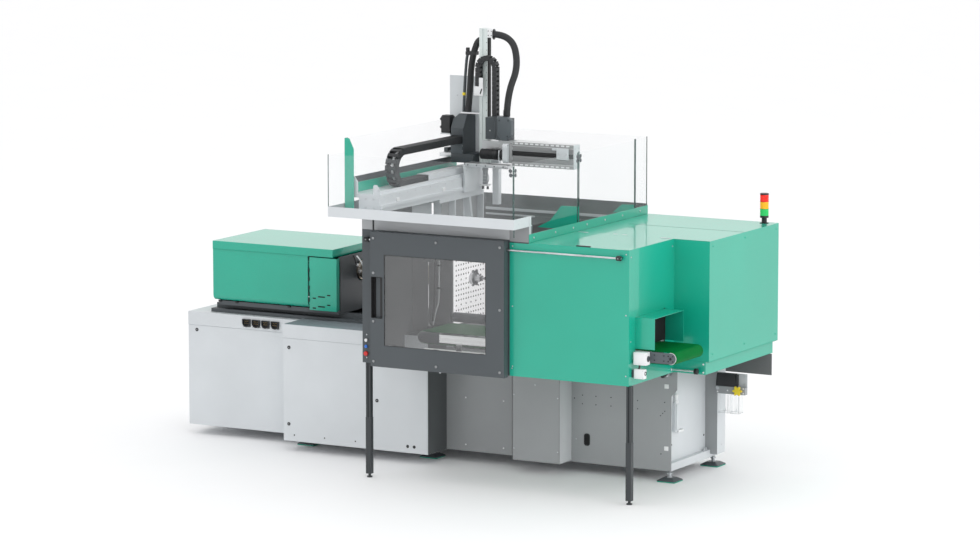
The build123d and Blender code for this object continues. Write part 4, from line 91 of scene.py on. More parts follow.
class MachineColours(bpy.types.PropertyGroup):
    """Colours of the paints, plastics and panes."""

    teal: bpy.props.FloatVectorProperty(
        name="Teal", description="Guards, hoods and covers", subtype="COLOR", default=(0.006, 0.385, 0.262)
    )
    white: bpy.props.FloatVectorProperty(
        name="White", description="Cabinets, deck ledge and robot beam", subtype="COLOR", default=(0.620, 0.650, 0.672)
    )
    dark: bpy.props.FloatVectorProperty(
        name="Dark grey", description="Door, its frame and the posts", subtype="COLOR", default=(0.067, 0.078, 0.086)
    )
    panel: bpy.props.FloatVectorProperty(
        name="Panel grey", description="Cladding of the base", subtype="COLOR", default=(0.315, 0.328, 0.338)
    )
    robot: bpy.props.FloatVectorProperty(
        name="Robot grey", description="Covers of the robot", subtype="COLOR", default=(0.055, 0.066, 0.073)
    )
    belt: bpy.props.FloatVectorProperty(
        name="Belt green", description="Conveyor belt", subtype="COLOR", default=(0.001, 0.146, 0.030)
    )
    black: bpy.props.FloatVectorProperty(
        name="Black", description="Plastic mouldings, chains and hoses", subtype="COLOR", default=(0.014, 0.015, 0.017)
    )
    clear: bpy.props.FloatVectorProperty(
        name="Clear", description="Clear guards round the deck", subtype="COLOR", default=(0.780, 0.830, 0.850)
    )


class MachineDetails(bpy.types.PropertyGroup):
    """Sizes of the fine parts, in millimetres."""

    screw: bpy.props.FloatProperty(name="Screw head", description="Radius of a cover screw", default=7.5, min=3, max=15)
    lock: bpy.props.FloatProperty(name="Lock", description="Radius of a quarter-turn lock", default=14.0, min=8, max=25)
    hole_pitch: bpy.props.FloatProperty(
        name="Hole pitch", description="Distance between the holes of the mounting plate", default=40.0, min=20, max=80
    )


class MachineStage(bpy.types.PropertyGroup):
    """Floor, light and camera."""

    floor: bpy.props.FloatProperty(name="Floor", description="Half width of the floor", unit="LENGTH", default=150.0)
    key: bpy.props.FloatProperty(name="Key light", description="Power of the soft light", unit="POWER", default=340.0)
    fill: bpy.props.FloatProperty(name="Surround", description="Strength of the even light all round", default=1.07)
    lens: bpy.props.FloatProperty(name="Lens", description="Focal length in millimetres", default=160.9)
    camera_place: bpy.props.FloatVectorProperty(
        name="Camera", description="Where the camera stands", subtype="TRANSLATION", default=(16.8452, -29.7084, 6.4830)
    )
    camera_tilt: bpy.props.FloatProperty(
        name="Tilt", description="Angle of the view from straight down", subtype="ANGLE", default=radians(81.62)
    )
    camera_turn: bpy.props.FloatProperty(
        name="Turn", description="Heading of the view", subtype="ANGLE", default=radians(28.93)
    )


# Finishes


class Nodes:
    """A material under way, with the few node groups that its recipe needs."""

    def __init__(self, name):
        self.material = bpy.data.materials.new(name)
        self.material.use_nodes = True
        self.tree = self.material.node_tree
        self.shader = self.tree.nodes["Principled BSDF"]
        self.place = self.tree.nodes.new("ShaderNodeTexCoord").outputs["Object"]

    def node(self, kind, **values):
        """A new node with its inputs set by name."""
        made = self.tree.nodes.new(kind)
        for name, value in values.items():
            made.inputs[name].default_value = value
        return made

    def link(self, source, target):
        self.tree.links.new(source, target)

    def stretched(self, scale):
        """The object's own coordinates, scaled by a different amount along each axis."""
        mapping = self.node("ShaderNodeMapping", Scale=scale)
        self.link(self.place, mapping.inputs["Vector"])
        return mapping.outputs["Vector"]

    def noise(self, scale, detail=3.0, along=None):
        """A soft random pattern; scale is in features a metre."""
        made = self.node("ShaderNodeTexNoise", Scale=scale, Detail=detail)
        self.link(along or self.place, made.inputs["Vector"])
        return made.outputs["Fac"]

    def ranged(self, value, low, high):
        """A pattern turned into a range of numbers."""
        made = self.node("ShaderNodeMapRange")
        for socket, number in zip(("From Min", "From Max", "To Min", "To Max"), (*NOISE_RANGE, low, high)):
            made.inputs[socket].default_value = number
        self.link(value, made.inputs["Value"])
        return made.outputs["Result"]

    def paint(self, pattern, colour, dark, light):
        """The base colour, which follows a pattern between a darker and a lighter tint."""
        made = self.tree.nodes.new("ShaderNodeValToRGB")
        for stop, position, amount in zip(made.color_ramp.elements, NOISE_RANGE, (dark, light)):
            stop.position = position
            stop.color = (*tinted(colour, amount), 1)
        self.link(pattern, made.inputs["Fac"])
        self.link(made.outputs["Color"], self.shader.inputs["Base Color"])

    def put(self, **values):
        """Sets inputs of the surface by name, with _ for a space."""
        for name, value in values.items():
            self.shader.inputs[name.replace("_", " ")].default_value = value

    def relief(self, height, depth):
        """Fine height on the surface, with depth in metres."""
        made = self.node("ShaderNodeBump", Distance=depth, Strength=1.0)
        self.link(height, made.inputs["Height"])
        self.link(made.outputs["Normal"], self.shader.inputs["Normal"])


def tinted(colour, amount):
    """A colour made lighter or darker by a share."""
    return tuple(min(1.0, c * amount) for c in colour[:3])


def coated(name, colour, roughness=0.38, grain=900.0, depth=0.00006, drift=0.05, coat=0.0, painted_glow=0.0):
    """Powder coat or moulded plastic: an even colour that drifts a little, over a fine orange peel. Its glow, when set,
    is painted light: the surface gives off light of its own colour.
    """
    made = Nodes(name)
    drifting = made.noise(1.6, 4.0)
    made.paint(drifting, colour, 1 - drift, 1 + drift)
    peel = made.noise(grain, 2.0)
    made.link(made.ranged(peel, roughness - 0.04, roughness + 0.05), made.shader.inputs["Roughness"])
    made.relief(peel, depth)
    # Emission in the paint's own colour is painted light, not a lamp
    made.put(Coat_Weight=coat, Emission_Color=(*colour[:3], 1), Emission_Strength=painted_glow)
    return made.material


def metal(name, colour, roughness=0.32, along=(1.0, 1.0, 1.0), grain=500.0, depth=0.00003, drift=0.12):
    """Ground, cast or plated metal with a grain that runs one way."""
    made = Nodes(name)
    lines = made.noise(grain, 4.0, made.stretched(along))
    cloud = made.noise(9.0, 3.0)
    made.paint(cloud, colour, 1 - drift, 1 + drift)
    made.link(made.ranged(lines, roughness - 0.08, roughness + 0.1), made.shader.inputs["Roughness"])
    made.put(Metallic=1.0)
    made.relief(lines, depth)
    return made.material


def pane(name, colour, opacity, roughness=0.03, haze=0.01):
    """A clear sheet, with the faintest haze over it."""
    made = Nodes(name)
    cloud = made.noise(3.0, 2.0)
    made.paint(cloud, colour, 0.96, 1.04)
    made.link(made.ranged(cloud, opacity - haze, opacity + haze), made.shader.inputs["Alpha"])
    made.put(Roughness=roughness, IOR=1.49)
    return made.material


def woven_belt(name, colour):
    """Conveyor belt: a fine crossed fabric print under a smooth top."""
    made = Nodes(name)
    cloud = made.noise(5.0, 4.0)
    made.paint(cloud, colour, 0.85, 1.18)
    weave = made.node("ShaderNodeTexVoronoi", Scale=420.0)
    made.link(made.stretched((1.0, 2.0, 1.0)), weave.inputs["Vector"])
    made.link(made.ranged(cloud, 0.36, 0.5), made.shader.inputs["Roughness"])
    made.put(Specular_IOR_Level=0.02)
    made.relief(weave.outputs["Distance"], 0.0002)
    return made.material


def lens_finish(name, colour):
    """A coloured lens with a faint painted glow of its own colour, which stands in for light through it."""
    made = Nodes(name)
    cloud = made.noise(60.0, 2.0)
    made.paint(cloud, colour, 0.9, 1.1)
    made.put(Roughness=0.18, Emission_Color=(*colour, 1), Emission_Strength=0.25)
    made.relief(cloud, 0.00005)
    return made.material


# Pieces in mesh code


def flat(point, axis, depth):
    """A point of an outline, set at a depth along the axis that it is drawn across."""
    first, second = point
    return {"x": (depth, first, second), "y": (first, depth, second), "z": (first, second, depth)}[axis]


def rounded(low, high, radius, steps=4):
    """Corner points of a rectangle with round corners, anticlockwise."""
    corners = (
        (high[0] - radius, high[1] - radius, 0),
        (low[0] + radius, high[1] - radius, 90),
        (low[0] + radius, low[1] + radius, 180),
        (high[0] - radius, low[1] + radius, 270),
    )
    points = []
    for x, y, start in corners:
        for step in range(steps + 1):
            angle = radians(start + 90 * step / steps)
            points.append((x + radius * cos(angle), y + radius * sin(angle)))
    return points


def lobed(middle, reach, depth, steps):
    """Points of an outline with six lobes about its middle."""
    points = []
    for step in range(steps):
        angle = 2 * pi * step / steps
        radius = reach + depth * cos(6 * angle)
        points.append((middle[0] + radius * cos(angle), middle[1] + radius * sin(angle)))
    return points


def grid(*axes):
    """Every place on a grid: each axis is given as a number or as a row of numbers."""
    return product(*((axis,) if isinstance(axis, (int, float)) else axis for axis in axes))


class Piece:
    """Gathers the faces of one piece in millimetres. Each part of it keeps its own finish."""

    def __init__(self):
        self.mesh = bmesh.new()
        self.finishes = []

    def _number(self, finish):
        """The number of a finish among those of this piece."""
        if finish not in self.finishes:
            self.finishes.append(finish)
        return self.finishes.index(finish)

    def _take(self, part, finish):
        """Takes in a part that was built on its own."""
        number = self._number(finish)
        for face in part.faces:
            face.material_index = number
        data = bpy.data.meshes.new("part")
        part.to_mesh(data)
        part.free()
        self.mesh.from_mesh(data)
        bpy.data.meshes.remove(data)

    def block(self, low, high, finish, edge=0.0):
        """A straight-sided part between two corners, with its edges rounded."""
        part = bmesh.new()
        low, high = Vector(low), Vector(high)
        corners = bmesh.ops.create_cube(part, size=1.0)["verts"]
        for corner in corners:
            corner.co = (low + high) / 2 + corner.co * (high - low)
        if edge:
            bmesh.ops.bevel(part, geom=part.edges[:], offset=edge, segments=2, profile=0.6, affect="EDGES")
        self._take(part, finish)

    def turned(self, base, along, profile, finish, steps=24):
        """Turns a profile of (radius, height) pairs about the line from base."""
        part = bmesh.new()
        upright = Vector(along).to_track_quat("Z", "Y").to_matrix()
        rings = []
        for radius, height in profile:
            count = steps if radius > 0 else 1
            ring = []
            for step in range(count):
                angle = 2 * pi * step / steps
                spot = upright @ Vector((radius * cos(angle), radius * sin(angle), height))
                ring.append(part.verts.new(Vector(base) + spot))
            rings.append(ring)
        for lower, upper in zip(rings, rings[1:]):
            for step in range(steps):
                after = (step + 1) % steps
                around = [lower[step % len(lower)], lower[after % len(lower)]]
                around += [upper[after % len(upper)], upper[step % len(upper)]]
                corners = list(dict.fromkeys(around))
                if len(corners) > 2:
                    part.faces.new(corners)
        for ring in (rings[0], rings[-1]):
            if len(ring) > 1:
                part.faces.new(ring)
        self._take(part, finish)

    def loft(self, sections, finish, edge=0.0):
        """A closed part through outlines with as many points each, with the end outlines rounded off."""
        part = bmesh.new()
        rings = [[part.verts.new(point) for point in section] for section in sections]
        for lower, upper in zip(rings, rings[1:]):
            for step in range(len(lower)):
                after = (step + 1) % len(lower)
                part.faces.new([lower[step], lower[after], upper[after], upper[step]])
        caps = [part.faces.new(rings[0]), part.faces.new(rings[-1])]
        if edge:
            bmesh.ops.recalc_face_normals(part, faces=part.faces[:])
            rim = list({e for cap in caps for e in cap.edges})
            bmesh.ops.bevel(part, geom=rim, offset=edge, segments=2, profile=0.6, affect="EDGES")
        self._take(part, finish)

    def plate(self, points, axis, start, end, finish, edge=0.0):
        """A flat outline given its thickness along an axis."""
        self.loft([[flat(p, axis, depth) for p in points] for depth in (start, end)], finish, edge)

    def ring(self, outer, inner, axis, start, end, finish):
        """A flat frame between two outlines with as many points each."""
        part = bmesh.new()
        lines = ((outer, start), (outer, end), (inner, end), (inner, start))
        loops = [[part.verts.new(flat(p, axis, depth)) for p in line] for line, depth in lines]
        for here, there in zip(loops, loops[1:] + loops[:1]):
            for step in range(len(here)):
                after = (step + 1) % len(here)
                part.faces.new([here[step], here[after], there[after], there[step]])
        self._take(part, finish)

    def pipe(self, points, radius, finish, sides=3):
        """A smooth round line along its control points."""
        part = bmesh.new()
        data = smooth_line(points, radius, sides)
        part.from_mesh(data)
        bpy.data.meshes.remove(data)
        self._take(part, finish)

    def disc(self, at, along, radius, height, finish="hole_painted_shade", steps=12):
        """A thin disc, which in the near-black finish is painted shade that stands for a hole."""
        self.turned(at, along, [(radius, 0), (radius, height), (0, height)], finish, steps)

    def screw(self, at, along, finish="zinc_plate", size=None):
        """A button-head screw with its socket."""
        radius = size or bpy.context.scene.machine_details.screw
        shape = [(1.0, 0.0), (1.0, 0.18), (0.86, 0.42), (0.55, 0.52), (0.5, 0.52), (0.44, 0.3), (0, 0.3)]
        self.turned(at, along, [(r * radius, h * radius) for r, h in shape], finish, 16)

    def screws(self, places, along, finish="zinc_plate", size=None):
        """Like screws at several places."""
        for at in places:
            self.screw(at, along, finish, size)

    def lock(self, at, along=NEAR):
        """A quarter-turn lock: a plain boss with a slot bar."""
        radius = bpy.context.scene.machine_details.lock
        shape = [(1.0, 0.0), (1.0, 0.2), (0.9, 0.3), (0.62, 0.3), (0.58, 0.16), (0, 0.16)]
        self.turned(at, along, [(r * radius, h * radius) for r, h in shape], "black_moulding")
        middle = Vector(at) + Vector(along) * radius * 0.2
        bar = Vector((radius * 0.45, radius * 0.12, radius * 0.12))
        self.block(middle - bar, middle + bar, "zinc_plate", 0.4)

    def repeat(self, part, places):
        """Adds a copy of another piece at each place."""
        source = bpy.data.meshes.new("part")
        part.mesh.to_mesh(source)
        for polygon in source.polygons:
            polygon.material_index = self._number(part.finishes[polygon.material_index])
        for place in places:
            copy = source.copy()
            copy.transform(place)
            self.mesh.from_mesh(copy)
            bpy.data.meshes.remove(copy)
        bpy.data.meshes.remove(source)

    def make(self, name, body="", hides=(), slot=""):
        """Turns the gathered faces into an object in metres that rides on a body, if one is given."""
        bmesh.ops.recalc_face_normals(self.mesh, faces=self.mesh.faces[:])
        for face in self.mesh.faces:
            face.smooth = True
        for edge in self.mesh.edges:
            if len(edge.link_faces) == 2 and edge.calc_face_angle(0.0) > SHARP:
                edge.smooth = False
        bmesh.ops.scale(self.mesh, vec=(MM, MM, MM), verts=self.mesh.verts[:])
        data = bpy.data.meshes.new(name)
        self.mesh.to_mesh(data)
        self.mesh.free()
        for finish in self.finishes:
            data.materials.append(bpy.data.materials[finish])
        made = bpy.data.objects.new(name, data)
        bpy.context.scene.collection.objects.link(made)
        if body:
            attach(made, body)
        if hides:
            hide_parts(*hides)
        return made


def smooth_line(points, radius, sides):
    """The mesh of a smooth round line along its control points."""
    data = bpy.data.curves.new("line", "CURVE")
    data.dimensions = "3D"
    data.resolution_u = 10
    data.bevel_depth = radius
    data.bevel_resolution = sides
    data.use_fill_caps = True
    line = data.splines.new("NURBS")
    line.points.add(len(points) - 1)
    for spot, point in zip(line.points, points):
        spot.co = (*point, 1)
    line.order_u = 3
    line.use_endpoint_u = True
    holder = bpy.data.objects.new("line", data)
    mesh = bpy.data.meshes.new_from_object(holder)
    bpy.data.objects.remove(holder)
    bpy.data.curves.remove(data)
    return mesh


def node_box(node):
    """Lowest and highest corner of a CAD node, in millimetres."""
    low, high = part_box(node)
    return Vector(low) / MM, Vector(high) / MM


# Operators: one for each piece or group of like pieces


class MOULDING_OT_finishes(bpy.types.Operator):
    """Makes the finishes and puts them on the solids of the frame"""

    bl_idname = "moulding.finishes"
    bl_label = "Finishes"

    def execute(self, context):
        colours = context.scene.machine_colours
        coated("teal_coat", colours.teal, 0.3, coat=0.5)
        coated("white_coat", colours.white, 0.36)
        coated("dark_coat", colours.dark, 0.42)
        # Lighter than the bracket grey, to make up for the ledge's shadow: painted light
        coated("header_painted_light", (0.40, 0.41, 0.42), 0.42)
        coated("bracket_coat", (0.255, 0.262, 0.268), 0.42)
        coated("post_coat", tinted(colours.dark, 0.5), 0.42)
        coated("shadow_coat", tinted(colours.dark, 0.75), 0.5)
        coated("guard_coat", (0.145, 0.150, 0.152), 0.5, grain=300.0, depth=0.00002)
        coated("panel_coat", colours.panel, 0.4)
        coated("light_panel", tinted(colours.white, 0.82), 0.4)
        coated("shaded_panel", (0.33, 0.335, 0.34), 0.45)
        # Light grey sheet for the box's right side: painted light
        coated("box_side_painted_light", (0.56, 0.575, 0.59), 0.42)
        coated("side_shade", (0.085, 0.092, 0.096), 0.42)
        coated("rail_grey", (0.25, 0.255, 0.26), 0.42)
        coated("robot_coat", colours.robot, 0.44, grain=1400.0, depth=0.00009)
        coated("robot_front", tinted(colours.robot, 1.6), 0.44, grain=1400.0, depth=0.00009)
        coated("black_moulding", colours.black, 0.42, grain=1600.0)
        coated("white_moulding", (0.78, 0.79, 0.80), 0.3, grain=1600.0)
        coated("blue_moulding", (0.02, 0.16, 0.62), 0.28, grain=1600.0, coat=0.3)
        coated("red_moulding", (0.62, 0.015, 0.012), 0.28, grain=1600.0, coat=0.3)
        coated("yellow_moulding", (0.80, 0.62, 0.02), 0.35, grain=1600.0)
        coated("chain_nylon", tinted(colours.black, 1.3), 0.5, grain=1200.0)
        coated("hose_rubber", tinted(colours.black, 0.9), 0.56, grain=700.0, depth=0.00012)
        coated("seal_rubber", (0.012, 0.012, 0.013), 0.6, grain=900.0)
        coated("teal_rubber", tinted(colours.teal, 0.8), 0.55)
        # Near black: painted shade in holes, slots, gaps and louvres
        coated("hole_painted_shade", (0.004, 0.004, 0.005), 0.8)
        coated("cable_white", (0.70, 0.72, 0.73), 0.4)
        coated("cable_grey", (0.30, 0.32, 0.33), 0.45)
        coated("clip_grey", (0.10, 0.11, 0.12), 0.4)
        # Darker plate for the cabinet top: painted shade under the injection unit and bed
        coated("cabinet_top_painted_shade", tinted(colours.dark, 4.6), 0.3, coat=0.4)
        coated("column_white", (0.66, 0.72, 0.71), 0.34)
        woven_belt("green_belt", colours.belt)
        metal("ground_steel", (0.62, 0.63, 0.65), 0.26, (0.04, 1.0, 1.0))
        metal("machined_cast", (0.56, 0.57, 0.58), 0.38, (1.0, 0.1, 1.0), drift=0.06)
        metal("zinc_plate", (0.58, 0.60, 0.62), 0.34, drift=0.1)
        metal("anodised_profile", (0.68, 0.69, 0.70), 0.36, (0.03, 1.0, 1.0), drift=0.05)
        metal("band_steel", (0.46, 0.41, 0.34), 0.36, (1.0, 0.2, 0.2), drift=0.2)
        metal("brass", (0.72, 0.50, 0.20), 0.3)
        metal("tool_steel", (0.30, 0.31, 0.32), 0.34)
        # The mounting plate glows: painted light for the lit mould space seen through the window
        coated("mounting_plate_painted_light", (0.82, 0.81, 0.82), 0.4, painted_glow=1.4)
        # The conveyor profiles glow a little: painted light
        coated("profile_painted_light", (0.68, 0.69, 0.69), 0.35, painted_glow=0.8)
        metal("screw_grey", (0.36, 0.37, 0.38), 0.4)
        pane("clear_sheet", colours.clear, 0.05)
        pane("sheet_edge", (0.055, 0.120, 0.110), 0.8)
        pane("tinted_window", (0.24, 0.242, 0.246), 0.3, 0.05)
        pane("bowl_clear", (0.80, 0.83, 0.85), 0.14, 0.08)
        lens_finish("lens_red", (0.80, 0.020, 0.012))
        lens_finish("lens_amber", (0.86, 0.42, 0.010))
        lens_finish("lens_green", (0.020, 0.50, 0.120))
        for finish, nodes in NODE_FINISHES.items():
            for node in nodes:
                for material_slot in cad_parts[node].material_slots:
                    material_slot.material = bpy.data.materials[finish]
        return {"FINISHED"}


NODE_FINISHES = {
    "white_coat": (
        "base_frame", "control_cabinet", "hydraulic_cabinet", "cabinet_panels", "deck_tray", "robot_beam",
        "cable_tray",
    ),
    "panel_coat": ("base_panels",),
    "black_moulding": ("connector_sockets", "robot_motors", "tower_light"),
    "dark_coat": ("levelling_feet", "machine_bed", "door_frame", "sliding_door", "unit_base"),
    "post_coat": ("guard_posts",),
    "white_moulding": ("white_button", "conveyor_drive"),
    "blue_moulding": ("blue_button",),
    "red_moulding": ("red_button",),
    "ground_steel": (
        "guide_rods", "clamp_ram", "ejector", "drive_roller", "idler_roller", "barrel", "injection_piston",
        "screw",
    ),
    "tinted_window": ("door_window",),
    "teal_coat": (
        "front_guard", "top_flap", "clamp_cover", "unit_cover", "unit_lid", "nozzle_guard", "deck_rails",
    ),
    "guard_coat": ("mould_guards",),
    "machined_cast": ("fixed_platen", "cylinder_block", "moving_platen"),
    "clip_grey": ("tie_bars",),
    "anodised_profile": ("conveyor_frame", "length_beam", "column_slide", "column", "gripper"),
    "green_belt": ("conveyor_belt",),
    "band_steel": ("heater_bands",),
    "clear_sheet": ("clear_guards",),
    "chain_nylon": ("cross_chain", "upright_chain"),
    "robot_coat": ("robot_carriage", "left_cover", "right_cover"),
    "hose_rubber": ("robot_hoses",),
    "lens_red": ("tower_lenses",),
    "zinc_plate": ("service_unit",),
    "bowl_clear": ("filter_bowls",),
    "yellow_moulding": ("service_knob",),
}


class MOULDING_OT_tower(bpy.types.Operator):
    """Signal tower: three ribbed lenses on a neck and foot, under a cap"""

    bl_idname = "moulding.tower"
    bl_label = "Signal tower"

    def execute(self, context):
        low, high = node_box("tower_lenses")
        middle = (low + high) / 2
        radius = (high.x - low.x) / 2
        pitch = (high.z - low.z) / 3
        for number, colour in enumerate(("green", "amber", "red")):
            lens = Piece()
            foot = low.z + number * pitch
            profile = [(radius - 3, 0), (radius - 1, 1)]
            for rib in range(7):
                rise = 4 + rib * (pitch - 8) / 7
                profile += [(radius - 2.2, rise), (radius - 0.6, rise + 1.8), (radius - 0.6, rise + 4.4)]
            profile += [(radius - 1, pitch - 2), (radius - 4, pitch - 0.8)]
            lens.turned((middle.x, middle.y, foot), UP, profile, "lens_" + colour, 40)
            hides = ("tower_lenses",) if colour == "green" else ()
            lens.make(colour + "_lens", "machine", hides, "lens_plastic")
        low, high = node_box("tower_light")
        neck = [(radius, 0), (radius, 3), (21, 7), (20, 38), (21, 42), (radius - 1, 44), (radius - 1, 60)]
        rise = middle.z + 1.5 * pitch - low.z
        cap = [(radius - 1, rise), (radius, rise + 1), (radius, rise + 7), (radius - 3, rise + 10.5), (0, rise + 12)]
        bands = []
        for number in (1, 2):
            seam = middle.z - 1.5 * pitch + number * pitch - low.z
            outside = radius - 0.2
            bands.append([(radius - 4, seam - 1), (outside, seam - 0.9), (outside, seam + 0.9), (radius - 4, seam + 1)])
        stand = Piece()
        for profile in (neck, cap, *bands):
            stand.turned((middle.x, middle.y, low.z), UP, profile, "black_moulding", 40)
        stand.make("tower_stand", "machine", ("tower_light",), "black_plastic")
        return {"FINISHED"}


class MOULDING_OT_feet(bpy.types.Operator):
    """Levelling feet: rubber mats, sloped pads, threaded spindles and nuts"""

    bl_idname = "moulding.feet"
    bl_label = "Levelling feet"

    def execute(self, context):
        foot = Piece()
        foot.plate(rounded((-77, -77), (77, 77), 9), "z", 0, 8, "teal_rubber", 1.5)
        levels = ((77, 8), (77, 13), (70, 17), (45, 31), (43.5, 32))
        foot.loft([[(x, y, z) for x, y in rounded((-h, -h), (h, h), h * 0.12)] for h, z in levels], "dark_coat")
        thread = [(13, 8)]
        for turn in range(14):
            thread += [(14, 9 + turn * 3.2), (12.6, 10.6 + turn * 3.2)]
        foot.turned((0, 0, 32), UP, [(24, 0), (24, 5), (17, 8), (17, 11)], "zinc_plate", 6)
        foot.turned((0, 0, 32), UP, thread, "zinc_plate", 20)
        foot.turned((0, 0, 56), UP, [(21, 0), (24, 2), (24, 11), (21, 13)], "zinc_plate", 6)
        feet = Piece()
        feet.repeat(foot, [Matrix.Translation(spot) for spot in grid((-1310, -167, 1945), (127, 887), 0)])
        feet.make("feet", "machine", ("levelling_feet",), "zinc")
        return {"FINISHED"}


class MOULDING_OT_cabinets(bpy.types.Operator):
    """Locks and plugs of the two cabinets, dark plates of painted shade on their tops and a painted shade sheet on the
    side, and their sockets
    """

    bl_idname = "moulding.cabinets"
    bl_label = "Cabinets"

    def execute(self, context):
        trim = Piece()
        trim.lock((-2352, CABINET_FACE, 866))
        for x, z in ((-1295, 843), (-1300, 221), (-480, 480)):
            trim.lock((x, HYDRAULIC_FACE, z))
        trim.screws(grid((-1249, -967, -681), HYDRAULIC_FACE, 134), NEAR, "black_moulding", 6)
        plug = [(13, 0), (13, 1.5), (9, 1.5), (8, 0.6), (0, 0.6)]
        for x in (-201, -141):
            trim.turned((x, HYDRAULIC_FACE, 136), NEAR, plug, "black_moulding")
        # Dark plates on the cabinet tops: painted shade from the unit and the bed above
        for left, right, finish in ((-1346, -226, "cabinet_top_painted_shade"), (-224, -22, "shadow_coat")):
            trim.plate(rounded((left, -207), (right, 90), 5), "z", 1028, 1029.2, finish, 0.5)
        # Dark sheet on the cabinet's side: painted shade
        trim.block((-16.1, -211, 84.6), (-15.4, 86, 1026), "side_shade", 0.3)
        trim.make("cabinet_trim", "machine")
        sockets = Piece()
        for number in range(4):
            x = -1870 + number * 90.7
            rim = [(x + 36.5 * cos(radians(a)), 961.5 + 36.5 * sin(radians(a))) for a in range(180, 361, 12)]
            rim += [(x + 36.5, 989), (x - 36.5, 989)]
            inner = [(x + (px - x) * 0.8, 965 + (pz - 965) * 0.8) for px, pz in rim]
            sockets.ring(rim, inner, "y", 57.5, 74, "black_moulding")
            sockets.plate(inner, "y", 66, 70, "hole_painted_shade")
            for across, z in grid((-16, -5.5, 5.5, 16), (956, 974)):
                sockets.turned((x + across, 66, z), NEAR, [(2, 0), (2, 4), (1.2, 5), (0, 5)], "brass", 8)
            sockets.screws(grid((x - 40, x + 40), CABINET_FACE, 991), NEAR, size=3)
        sockets.make("sockets", "machine", ("connector_sockets",), "black_plastic")
        return {"FINISHED"}


class MOULDING_OT_base(bpy.types.Operator):
    """Screws, holes, slot and seams of the base cladding, the box lid with a painted light sheet on its side, and the
    fittings of the end bay with a painted shade sheet on the far post
    """

    bl_idname = "moulding.base"
    bl_label = "Base cladding"

    def execute(self, context):
        trim = Piece()
        trim.screws(grid((158, 499), BASE_FACE, (513, 136)), NEAR, "white_moulding", 7)
        hollow = rounded((1223, 229), (1261, 313), 15)
        rim = rounded((1216, 222), (1268, 320), 20)
        trim.ring(rim, hollow, "y", BASE_FACE - 3, BASE_FACE + 1, "black_moulding")
        trim.plate(hollow, "y", BASE_FACE - 1, BASE_FACE + 1, "hole_painted_shade")
        for z in (262, 749):
            tab = rounded((1915, z - 17), (1952, z + 17), 3)
            trim.plate(tab, "y", BASE_FACE - 2.5, BASE_FACE, "white_moulding", 0.8)
        holes = ((1683, 618), (1683, 553), (1917, 623), (1918, 553), (1900, 535), (1882, 516), (1887, 216))
        holes += ((1130, 591), (1201, 620), (1319, 620), (1451, 622), (1201, 552), (1319, 553), (1451, 555))
        for x, z in holes:
            trim.disc((x, BASE_FACE, z), NEAR, 4.5, 0.6)
        for x in (573, 1106):
            trim.block((x, BASE_FACE - 0.8, 90), (x + 2.5, BASE_FACE + 0.5, 900), "shaded_panel")
        trim.make("base_trim", "machine")
        lid = Piece()
        for x, z in ((889, 704), (702, 614), (1088, 614), (702, 189), (1088, 189)):
            lid.screw((x, BOX_FACE, z), NEAR, size=6)
        inside = rounded((700, 106), (1094, 789), 5)
        lid.ring(rounded((697, 103), (1097, 792), 6), inside, "y", BOX_FACE - 0.6, BOX_FACE + 1, "shaded_panel")
        lid.screw((1147, BASE_FACE, 270), NEAR, size=6)
        # A lighter sheet on the box's right side: painted light from the right
        lid.block((1104.9, -108, 97), (1105.7, 86, 798), "box_side_painted_light", 0.3)
        lid.screw((1105.7, -50, 270), RIGHT, size=5)
        lid.make("box_lid_trim", "machine")
        bay = Piece()
        bay.block((1929, 196, 375), (1956, 258, 600), "white_coat", 3)
        bay.block((1956, 204, 390), (1963, 250, 590), "white_coat", 2)
        valve = [(20, 0), (20, 18), (13, 26), (13, 46), (17, 48), (17, 66), (9, 72), (0, 72)]
        bay.turned((1945, 227, 600), UP, valve, "white_moulding")
        bay.block((1929, 232, 366), (1968, 320, 384), "white_moulding", 3)
        bay.pipe([(1945, 227, 670), (1945, 227, 720), (1945, 205, 770), (1938, 190, 860)], 7, "cable_white")
        for y, z in ((185, 274), (751, 263)):
            bay.disc((1929, y, z), RIGHT, 8, 1, steps=16)
        for y in (715, 745):
            bay.turned((1952, y, 145), UP, [(10, 0), (11, 1), (11, 8), (9, 10), (0, 10)], "zinc_plate", 6)
            bay.turned((1952, y, 153), UP, [(6, 0), (6, 14), (4, 16), (0, 16)], "zinc_plate", 12)
        # A grey sheet on the far post's near face: painted shade
        bay.block((1930, 775.8, 113), (2034, 776.9, 904), "panel_coat")
        bay.screws(grid(2034, 850, (180, 700, 860)), RIGHT, size=6)
        roller = [(14, 0), (17, 3), (17, 34), (14, 37), (8, 37), (8, 80)]
        bay.turned((1960, -44, 852), FAR, roller, "black_moulding")
        bay.block((1946, 30, 838), (1973, 94.9, 868), "zinc_plate", 2)
        bay.make("end_bay_fittings", "machine")
        return {"FINISHED"}


